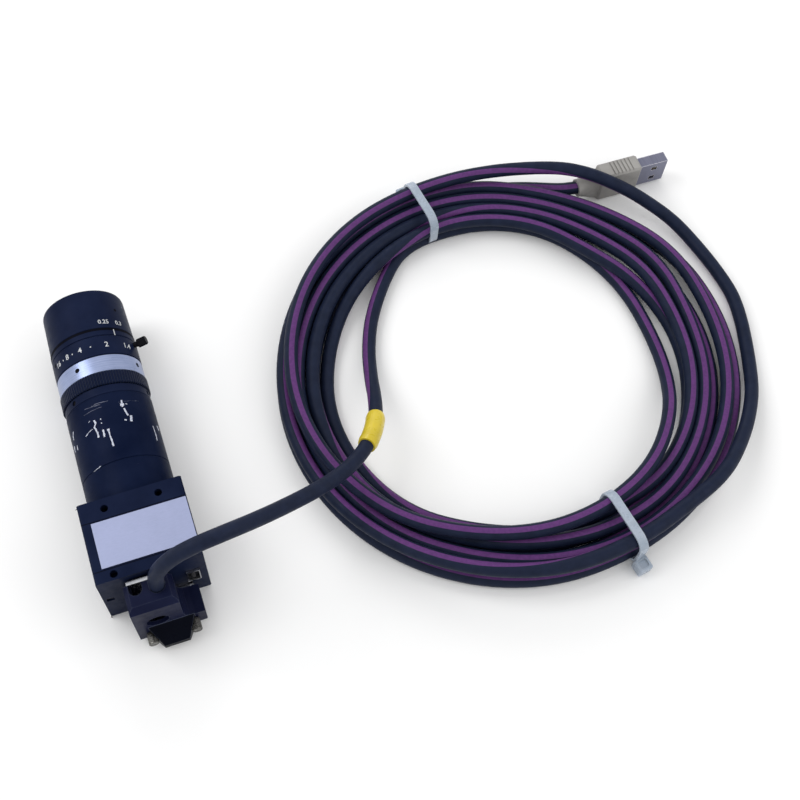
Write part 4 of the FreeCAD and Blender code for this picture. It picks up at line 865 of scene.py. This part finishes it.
@dataclass
class MarkerSleeve:
    """Glossy yellow sleeve shrunk on the lead, with slightly lipped ends."""

    finishes: Finishes
    lead: CoiledLead
    middle: Point = (83.0, 14.9, 18.9)
    length: float = 14.8
    cover: float = 0.85
    lip: float = 0.05

    def build(self) -> bpy.types.Object:
        """Sweep the sleeve along the lead's own line.

        Returns:
            The piece.
        """
        path = self.lead.path
        middle = self.lead.nearest(self.middle, 170)
        first = last = middle
        while (path[first] - path[middle]).length < self.length / 2 * MM:
            first -= 1
        while (path[last] - path[middle]).length < self.length / 2 * MM:
            last += 1
        stretch = path[first:last + 1]
        radius = (self.lead.diameter / 2 + self.cover) * MM
        radii = []
        for index in range(len(stretch)):
            end = min(index, len(stretch) - 1 - index)
            radii.append(radius + (self.lip * MM if end == 1 else -0.3 * self.cover * MM
                                   if end == 0 else 0.0))
        piece = MeshPiece("marker_band", self.finishes["marker_sleeve"], slot="yellow_sleeve")
        piece.swept(stretch, radii, 36)
        return piece.finished(replaced=("marker_sleeve",))


@dataclass
class CableTie:
    """Nylon tie round the coil: strap, and head with its window."""

    finishes: Finishes
    name: str
    angle: float
    inner: float
    outer: float
    top: float = 15.75
    thickness: float = 1.1
    width: float = 3.3
    corner: float = 4.2
    head: Point = (4.8, 5.2, 4.6)
    head_rise: float = 0.6
    strap_round: float = 0.22
    head_round: float = 0.45
    pocket_rim: float = 1.3
    pocket_depth: float = 0.6

    def build(self) -> bpy.types.Object:
        """Make the strap and the head as one piece.

        Returns:
            The piece.
        """
        piece = MeshPiece(self.name + "_band", self.finishes["tie_nylon"], slot="tie_nylon")
        self.add_strap(piece)
        self.add_head(piece)
        turn = Matrix.Translation((COIL_CENTRE[0] * MM, COIL_CENTRE[1] * MM, 0)) \
            @ Matrix.Rotation(math.radians(self.angle), 4, "Z")
        bmesh.ops.transform(piece.bm, matrix=turn, verts=piece.bm.verts)
        return piece.finished(replaced=(self.name,))

    def add_strap(self, piece: MeshPiece) -> None:
        """Add the strap: a rounded rectangle, extruded to its width and given its thickness.

        Args:
            piece: Where it goes.
        """
        low = 0.05 + self.thickness
        bm = piece.bm
        middle = Vector(((self.inner + self.outer) / 2, 0, (low + self.top) / 2))
        piece.hoop(middle, (self.outer - self.inner, self.top - low), self.corner, 8, self.width)
        bmesh.ops.recalc_face_normals(bm, faces=bm.faces)
        bmesh.ops.solidify(bm, geom=list(bm.faces), thickness=-self.thickness * MM)
        rims = [edge for edge in bm.edges if edge.calc_face_angle(0) > 1.2]
        bmesh.ops.bevel(bm, geom=rims, offset=self.strap_round * MM, segments=2, profile=0.5,
                        affect="EDGES", material=-1, clamp_overlap=True)

    def add_head(self, piece: MeshPiece) -> None:
        """Add the head, hollowed at the top for the tail and the pawl.

        Args:
            piece: Where it goes.
        """
        made = bmesh.ops.create_cube(piece.bm, size=1)
        long, wide, high = self.head
        centre = (self.outer + self.thickness + long / 2 - 0.4, 0, self.head_rise + high / 2)
        place = Matrix.Translation(Vector(centre) * MM) \
            @ Matrix.Diagonal((long * MM, wide * MM, high * MM, 1))
        bmesh.ops.transform(piece.bm, matrix=place, verts=made["verts"])
        faces = {face for vert in made["verts"] for face in vert.link_faces}
        top = max(faces, key=lambda face: face.calc_center_median().z)
        bmesh.ops.inset_individual(piece.bm, faces=[top], thickness=self.pocket_rim * MM)
        sunk = bmesh.ops.extrude_discrete_faces(piece.bm, faces=[top])["faces"]
        bmesh.ops.translate(piece.bm, vec=(0, 0, -self.pocket_depth * MM),
                            verts=sunk[0].verts)
        edges = {edge for vert in made["verts"] for edge in vert.link_edges}
        bmesh.ops.bevel(piece.bm, geom=list(edges), offset=self.head_round * MM, segments=3,
                        profile=0.5, affect="EDGES", material=-1, clamp_overlap=True)


# --------------------------------------------------------------------------------------------------
# Lens details
# --------------------------------------------------------------------------------------------------

@dataclass(frozen=True)
class Mark:
    """A mark on a ring. Lengths are in millimetres, and the angle is round from the top to +X."""

    name: str
    body: str
    radius: float
    along: float
    angle: float
    size: float


@dataclass
class RingMarks:
    """Engraved numbers, dots and lines that lie on a ring's curved surface."""

    finishes: Finishes
    lift: float = 0.015
    line_length: float = 2.4

    def number(self, mark: Mark, text: str) -> None:
        """Bend a number round a ring.

        Args:
            mark: Its place, with the height of the letters' body as size.
            text: The number.
        """
        font = bpy.data.curves.new(mark.name, "FONT")
        font.body = text
        font.size = mark.size
        font.align_x = "CENTER"
        font.align_y = "CENTER"
        font.resolution_u = 4
        font.offset = 0.012 * mark.size
        holder = bpy.data.objects.new(mark.name, font)
        flat = bpy.data.meshes.new_from_object(holder)
        piece = MeshPiece(mark.name, self.finishes["engraving_paint"], mark.body)
        piece.bm.from_mesh(flat)
        bpy.data.objects.remove(holder)
        bpy.data.meshes.remove(flat)
        self.wrap(piece, mark.radius, mark.along, mark.angle)
        piece.finished()

    def wrap(self, piece: MeshPiece, radius: float, along: float, angle: float) -> None:
        """Lay a flat pattern on a ring: its X goes round and its Y along the optical axis.

        Args:
            piece: The flat pattern, in millimetres.
            radius: Radius of the ring.
            along: Place along the optical axis.
            angle: Degrees round from the top.
        """
        reach = radius + self.lift
        for vert in piece.bm.verts:
            turn = math.radians(angle) + vert.co.x / radius
            vert.co = Vector((reach * math.sin(turn), along + vert.co.y,
                              AXIS_HEIGHT / MM + reach * math.cos(turn))) * MM

    def spot(self, mark: Mark, finish: str = "engraving_paint") -> None:
        """Lay a round dot on a ring.

        Args:
            mark: Its place, with its radius as size.
            finish: Name of its finish.
        """
        piece = MeshPiece(mark.name, self.finishes[finish], mark.body)
        bmesh.ops.create_circle(piece.bm, segments=20, radius=mark.size, cap_ends=True)
        bmesh.ops.triangulate(piece.bm, faces=piece.bm.faces)
        self.wrap(piece, mark.radius, mark.along, mark.angle)
        piece.finished()

    def line(self, mark: Mark) -> None:
        """Lay a short line along a ring.

        Args:
            mark: Its place, with its width as size.
        """
        piece = MeshPiece(mark.name, self.finishes["engraving_paint"], mark.body)
        bmesh.ops.create_grid(piece.bm, x_segments=1, y_segments=1, size=0.5)
        bmesh.ops.scale(piece.bm, vec=(mark.size, self.line_length, 1), verts=piece.bm.verts)
        self.wrap(piece, mark.radius, mark.along, mark.angle)
        piece.finished()

    def build(self) -> None:
        """Make the iris scale, the index line, the focus distances, and dark discs of painted shade
        for two empty tapped holes.
        """
        for index, (text, angle) in enumerate((("1.4", 52.5), ("2", 21.3), ("4", -14.5),
                                               ("8", -34.6), ("16", -54.0))):
            self.number(Mark("iris_number_%d" % index, "iris", 14.9, 69.65, angle, 2.8), text)
        for index, angle in enumerate((0.0, -26.0, -42.5)):
            self.spot(Mark("iris_dot_%d" % index, "iris", 14.9, 69.65, angle, 0.26))
        self.line(Mark("index_line", "camera", 14.82, 74.75, 37.0, 0.34))
        for index, (text, angle) in enumerate((("0.25", 25.6), ("0.3", 48.9))):
            self.number(Mark("focus_number_%d" % index, "focus", 14.68, 79.15, angle, 2.3), text)
        # Painted shade: dark discs in the inside finish stand in for the shade inside two tapped
        # holes.
        self.spot(Mark("focus_tapped_hole_shade", "focus", 14.52, 84.9, 50.2, 0.55), "inside_anodised")
        self.spot(Mark("iris_tapped_hole_shade", "iris", 14.9, 70.9, -63.8, 0.7), "inside_anodised")
        self.spot(Mark("focus_rub", "focus", 14.42, 88.0, 70.6, 0.35), "rubbed_anodising")


@dataclass
class GapShadeBand:
    """Painted shade: a dark band at the front of the index ring, where the focus ring starts, in
    place of the shadow in the gap between the two rings.
    """

    finishes: Finishes
    radius: float = 14.83
    along: tuple[float, float] = (75.6, 76.55)

    def build(self) -> bpy.types.Object:
        """Make the band from two circles.

        Returns:
            The piece.
        """
        piece = MeshPiece("index_ring_gap_shade", self.finishes["inside_anodised"])
        loops = []
        for along in self.along:
            place = Matrix.Translation((0, along * MM, AXIS_HEIGHT)) @ SLANT
            loops.append(piece.ring_of(128, self.radius * MM, place))
        bmesh.ops.bridge_loops(piece.bm, edges=loops[0] + loops[1])
        return piece.finished()


@dataclass
class HousingSeams:
    """Fine dark joints where the housing sleeve meets its two end plates."""

    finishes: Finishes
    width: float = 0.26
    lift: float = 0.015
    corner: float = 0.6

    def build(self) -> bpy.types.Object:
        """Make both joints as one piece.

        Returns:
            The piece.
        """
        piece = MeshPiece("housing_seams", self.finishes["inside_anodised"])
        low, high = (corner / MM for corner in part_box("housing_sleeve"))
        bm = piece.bm
        size = high - low + Vector((2, 2, 2)) * self.lift
        middle = Vector(((low.x + high.x) / 2, low.y, (low.z + high.z) / 2))
        piece.hoop(middle, (size.x, size.z), self.corner, 1, self.width)
        copy = bmesh.ops.duplicate(bm, geom=bm.verts[:] + bm.edges[:] + bm.faces[:])
        bmesh.ops.translate(bm, vec=(0, (high.y - low.y) * MM, 0), verts=verts_of(copy))
        bmesh.ops.recalc_face_normals(bm, faces=bm.faces)
        return piece.finished()


@dataclass(frozen=True)
class Scrape:
    """One scrape: its course as degrees round and millimetres along, and its width."""

    course: tuple[Station, ...]
    width: float


@dataclass
class WearMarks:
    """Scrapes and rub lines in the anodising of the upper tube, and two burrs on the housing."""

    finishes: Finishes
    marks: RingMarks
    radius: float = 14.75
    scrapes: tuple[Scrape, ...] = (
        Scrape(((-20.0, 42.94), (-18.8, 41.31), (-21.8, 40.21), (-19.4, 37.95), (-19.7, 35.8)),
               0.6),
        Scrape(((-38.6, 38.66), (-31.0, 39.6), (-23.6, 39.95)), 0.22),
        Scrape(((-29.0, 42.9), (-25.0, 43.2)), 0.18), Scrape(((-11.7, 42.3), (-10.3, 41.9)), 0.4),
        Scrape(((-11.8, 40.9), (-10.9, 40.4)), 0.3),
        Scrape(((-11.7, 38.25), (-11.4, 37.2), (-12.0, 35.2)), 0.6),
        Scrape(((-5.0, 37.9), (-4.9, 36.9)), 0.8),
        Scrape(((-5.0, 37.36), (-4.6, 34.16), (-3.6, 30.69)), 0.48),
        Scrape(((20.9, 47.4), (20.3, 46.2), (19.8, 44.4)), 0.55),
        Scrape(((20.6, 46.2), (19.9, 44.9)), 1.25), Scrape(((24.6, 45.8), (27.3, 45.5)), 0.3),
        Scrape(((21.2, 44.29), (22.6, 42.6), (24.1, 40.98)), 0.6),
        Scrape(((28.0, 41.3), (27.4, 40.0), (26.4, 38.7)), 0.8),
        Scrape(((19.9, 39.9), (18.9, 39.3)), 0.75),
        Scrape(((60.1, 38.34), (61.7, 34.96), (61.0, 31.95)), 0.55),
        Scrape(((73.4, 39.22), (74.6, 38.3), (76.5, 37.3)), 0.9),
        Scrape(((-60.0, 44.26), (-64.4, 43.08), (-65.5, 41.37)), 0.6),
        Scrape(((-69.9, 40.28), (-71.5, 37.41)), 0.6),
        Scrape(((-59.4, 38.99), (-60.1, 36.74)), 0.45),
        Scrape(((-25.7, 26.23), (-33.0, 25.9), (-39.4, 25.7)), 0.22))
    rubs: tuple[Scrape, ...] = (
        Scrape(((-20.7, 47.97), (-8.0, 48.1), (5.3, 47.85)), 0.20),
        Scrape(((-30.7, 48.07), (-18.0, 47.7), (-5.3, 47.25)), 0.24),
        Scrape(((-34.0, 46.1), (-20.0, 46.3), (-4.0, 46.35)), 0.16),
        Scrape(((14.0, 46.57), (30.0, 46.8), (47.5, 46.95)), 0.14))
    burrs: tuple[Point, ...] = ((-17.2, 13.3, 30.4), (-16.9, -13.9, 0.55))

    def build(self) -> None:
        """Make the scrapes, the rub lines and the burrs."""
        for name, strokes, finish in (("tube_scrapes", self.scrapes, "scraped_metal"),
                                      ("tube_rub_lines", self.rubs, "rubbed_anodising")):
            piece = MeshPiece(name, self.finishes[finish])
            for number, stroke in enumerate(strokes):
                self.add_stroke(piece.bm, stroke, number)
            self.marks.wrap(piece, self.radius, 0, 0)
            piece.finished()
        for number, place in enumerate(self.burrs):
            self.add_burr(number, Vector(place))

    def add_stroke(self, bm: bmesh.types.BMesh, stroke: Scrape, seed: int) -> None:
        """Add one stroke: edges along its course, extruded to its width and roughened.

        Args:
            bm: Where it goes, flat, in millimetres.
            stroke: The stroke.
            seed: Seed of the roughness.
        """
        points = [Vector((math.radians(angle) * self.radius, along, 0))
                  for angle, along in stroke.course]
        run = (points[-1] - points[0]).normalized()
        across = Vector((-run.y, run.x, 0)) * stroke.width
        verts = [bm.verts.new(point - across / 2) for point in points]
        edges = [bm.edges.new(pair) for pair in zip(verts, verts[1:])]
        made = bmesh.ops.extrude_edge_only(bm, edges=edges)
        moved = verts_of(made)
        bmesh.ops.translate(bm, vec=across, verts=moved)
        for vert in (verts[0], verts[-1], moved[0], moved[-1]):
            middle = (vert.link_edges[0].verts[0].co + vert.link_edges[0].verts[1].co) / 2
            vert.co = vert.co.lerp(middle, 0.25)
        around = {edge for vert in verts + moved for edge in vert.link_edges}
        bmesh.ops.subdivide_edges(bm, edges=list(around), cuts=3, fractal=0.45, seed=seed,
                                  use_grid_fill=True)

    def add_burr(self, number: int, place: Vector) -> None:
        """Add one torn sliver of bare metal at a corner.

        Args:
            number: Number of the burr.
            place: Its middle in millimetres.
        """
        piece = MeshPiece("corner_burr_%d" % number, self.finishes["nickel_steel"])
        lean = Matrix.Rotation(math.radians(-115), 4, "Y" if number == 0 else "X")
        bmesh.ops.create_cone(piece.bm, cap_ends=True, segments=5, radius1=0.30 * MM,
                              radius2=0.05 * MM, depth=1.1 * MM,
                              matrix=Matrix.Translation(place * MM) @ lean)
        piece.finished()


@dataclass
class LockScrew:
    """Knurled thumb screw of the iris ring."""

    finishes: Finishes
    angle: float = 72.0
    along: float = 71.8
    outline: tuple[tuple[float, float], ...] = (
        (0.0, 13.3), (0.75, 13.3), (0.75, 15.05), (1.0, 15.05), (1.0, 16.3), (1.35, 16.35),
        (1.6, 16.6), (1.6, 19.3), (1.4, 19.7), (0.0, 19.75))
    teeth: int = 20
    fluted: tuple[float, float] = (16.5, 19.5)
    flute_share: float = 0.89

    def build(self) -> bpy.types.Object:
        """Turn the screw on its axis, groove the head and lay it along its radius.

        Returns:
            The piece.
        """
        piece = MeshPiece("iris_lock_screw", self.finishes["black_oxide"], "lock", "black_steel")
        bm = piece.bm
        verts = [bm.verts.new((radius * MM, 0, rise * MM)) for radius, rise in self.outline]
        edges = [bm.edges.new(pair) for pair in zip(verts, verts[1:])]
        bmesh.ops.spin(bm, geom=verts + edges, cent=(0, 0, 0), axis=(0, 0, 1), angle=2 * math.pi,
                       steps=2 * self.teeth, use_merge=True)
        bmesh.ops.remove_doubles(bm, verts=bm.verts, dist=WELD)
        for vert in bm.verts:
            number = round(math.atan2(vert.co.y, vert.co.x) * self.teeth / math.pi)
            if number % 2 and self.fluted[0] * MM < vert.co.z < self.fluted[1] * MM:
                vert.co.xy *= self.flute_share
        turn = math.radians(self.angle)
        out = Vector((math.sin(turn), 0, math.cos(turn)))
        place = Matrix.Translation((0, self.along * MM, AXIS_HEIGHT)) \
            @ Vector((0, 0, 1)).rotation_difference(out).to_matrix().to_4x4()
        bmesh.ops.transform(bm, matrix=place, verts=bm.verts)
        return piece.finished(28, replaced=("lock_screw",))


# --------------------------------------------------------------------------------------------------
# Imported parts, stage, light and camera
# --------------------------------------------------------------------------------------------------

@dataclass
class PackedParts:
    """Finish of every node that shows its own solid."""

    finishes: Finishes

    nodes: dict[str, str] = field(default_factory=lambda: {
        "housing_anodised": "front_plate housing_sleeve back_plate",
        "tube_anodised": "lower_tube upper_tube",
        "ring_anodised": "lock_ring iris_ring index_ring focus_ring front_cell glass_retainer",
        "knurled_anodised": "adapter_ring",
        "inside_anodised": "inner_barrel iris_leaves filter_holder",
        "satin_aluminium": "lens_mount",
        "label_metal": "label_plate",
        "nickel_steel": "lead_clamp left_jack_screw right_jack_screw jack_posts",
        "black_oxide": "housing_screws lock_ring_screws lens_mount_screws lock_screw",
        "tinned_steel": "hood_plate receptacle_shell mini_socket connector_shell",
        "plug_steel": "plug_shell",
        "gold_plating": "board_spacers plug_contacts",
        "hood_plastic": "hood",
        "boss_plastic": "hood_boss",
        "insulator": "receptacle_insert mini_socket_tongue connector_insert board_link",
        "white_insulator": "plug_tongue",
        "light_guide": "status_window",
        "solder_mask": "sensor_board interface_board",
        "ceramic": "image_sensor",
        "grip_plastic": "plug_grip",
        "marker_sleeve": "marker_sleeve",
        "tie_nylon": "upper_tie lower_tie",
        "lead_jacket": "lead coil",
        "coated_glass": "front_glass middle_glass rear_glass sensor_glass infrared_filter"})

    def build(self) -> None:
        """Put the materials on the nodes."""
        table = {node: self.finishes[finish] for finish, names in self.nodes.items()
                 for node in names.split()}
        for name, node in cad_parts.items():
            material = table[name]
            for slot in node.material_slots:
                slot.material = material
            if not node.material_slots:
                node.data.materials.append(material)
            LOG.info("node %s: %s", name, material.name)


@dataclass
class Studio:
    """Pale floor, soft lamps, white surroundings and the camera."""

    floor_colour: Colour = (0.96, 0.96, 0.96, 1)
    glow_reach: tuple[float, float] = (0.45, 1.1)
    glow: float = 0.24
    surround_light: float = 0.78
    camera_place: Point = (14.88, -150.9, 401.48)
    camera_right: Point = (0.9421, -0.3322, 0.0449)
    camera_down: Point = (-0.2703, -0.8320, -0.4845)
    camera_ahead: Point = (0.1983, 0.4443, -0.8736)
    lens: float = 55.206
    shift: tuple[float, float] = (0.0064, -0.0664)
    lamps: tuple[tuple[str, Point, float, float], ...] = (
        ("key_lamp", (-0.55, 0.35, 0.85), 0.60, 3.4), ("fill_lamp", (0.75, -0.35, 0.70), 0.70, 1.7),
        ("back_lamp", (0.15, 0.95, 0.55), 0.50, 1.7))
    lamp_target: Point = (0.1, 0.03, 0.0)

    def build(self) -> None:
        """Set up everything that isn't part of the object."""
        self.add_floor()
        self.add_surroundings()
        for name, place, side, power in self.lamps:
            self.add_lamp(name, place, side, power)
        self.add_camera()
        bpy.context.scene.view_settings.view_transform = "Standard"

    def add_floor(self) -> None:
        """Lay a large plain floor under the object."""
        bm = bmesh.new()
        bmesh.ops.create_grid(bm, x_segments=1, y_segments=1, size=3.0)
        mesh = bpy.data.meshes.new("floor")
        bm.to_mesh(mesh)
        bm.free()
        tree = ShaderTree("floor")
        reach = tree.add("VectorMath", operation="LENGTH")
        tree.join(tree.coordinates(), reach.inputs[0])
        glow = tree.span(reach.outputs["Value"], *self.glow_reach, 0, self.glow)
        tree.set(Base_Color=self.floor_colour, Roughness=0.9, Specular_IOR_Level=0.1,
                 Emission_Color=self.floor_colour, Emission_Strength=glow)
        mesh.materials.append(tree.material)
        floor = linked("floor", mesh)
        floor.location.z = -0.00002

    def add_surroundings(self) -> None:
        """Give soft even light, and plain white to the camera, to gloss and through glass."""
        world = bpy.data.worlds.new("surroundings")
        bpy.context.scene.world = world
        world.use_nodes = True
        nodes, links = world.node_tree.nodes, world.node_tree.links
        nodes.clear()
        rays = nodes.new("ShaderNodeLightPath")
        seen = rays.outputs["Is Camera Ray"]
        for name in ("Is Glossy Ray", "Is Transmission Ray"):
            either = nodes.new("ShaderNodeMath")
            either.operation = "MAXIMUM"
            links.new(seen, either.inputs[0])
            links.new(rays.outputs[name], either.inputs[1])
            seen = either.outputs[0]
        level = nodes.new("ShaderNodeMapRange")
        links.new(seen, level.inputs["Value"])
        level.inputs["To Min"].default_value = self.surround_light
        level.inputs["To Max"].default_value = 1.0
        light = nodes.new("ShaderNodeBackground")
        links.new(level.outputs[0], light.inputs["Strength"])
        light.inputs["Color"].default_value = (1, 1, 1, 1)
        output = nodes.new("ShaderNodeOutputWorld")
        links.new(light.outputs[0], output.inputs["Surface"])

    def add_lamp(self, name: str, place: Point, side: float,
                 power: float) -> None:
        """Hang a square soft lamp that points at the object.

        Args:
            name: Name of the lamp.
            place: Where it hangs.
            side: Length of its side.
            power: Its power in watts.
        """
        data = bpy.data.lights.new(name, "AREA")
        data.shape = "SQUARE"
        data.size = side
        data.energy = power
        lamp = linked(name, data)
        aim = (Vector(self.lamp_target) - Vector(place)).to_track_quat("-Z", "Y")
        lamp.matrix_world = Matrix.Translation(place) @ aim.to_matrix().to_4x4()

    def add_camera(self) -> None:
        """Place the camera."""
        data = bpy.data.cameras.new("view")
        data.lens = self.lens
        data.sensor_width = 36.0
        data.shift_x, data.shift_y = self.shift
        data.clip_start = 0.01
        data.clip_end = 20.0
        camera = linked("view", data)
        axes = (Vector(self.camera_right), -Vector(self.camera_down), -Vector(self.camera_ahead))
        turn = Matrix(axes).transposed().to_quaternion().to_matrix().to_4x4()
        camera.matrix_world = Matrix.Translation(Vector(self.camera_place) * MM) @ turn
        bpy.context.scene.camera = camera


def main() -> None:
    """Build every part in order and report it."""
    logging.basicConfig(level=logging.INFO, format="%(name)s: %(message)s")
    Studio().build()
    finishes = Finishes()
    lead = CoiledLead(finishes)
    cord = lead.build()
    PackedParts(finishes).build()
    sleeve = MarkerSleeve(finishes, lead).build()
    ties = [CableTie(finishes, "upper_tie", 98.0, 61.15, 82.15).build(),
            CableTie(finishes, "lower_tie", -81.0, 62.6, 84.7).build()]
    LockScrew(finishes).build()
    marks = RingMarks(finishes)
    marks.build()
    # Painted shade in the gap between the index ring and the focus ring.
    GapShadeBand(finishes).build()
    HousingSeams(finishes).build()
    WearMarks(finishes, marks).build()


if __name__ == "__main__":
    main()
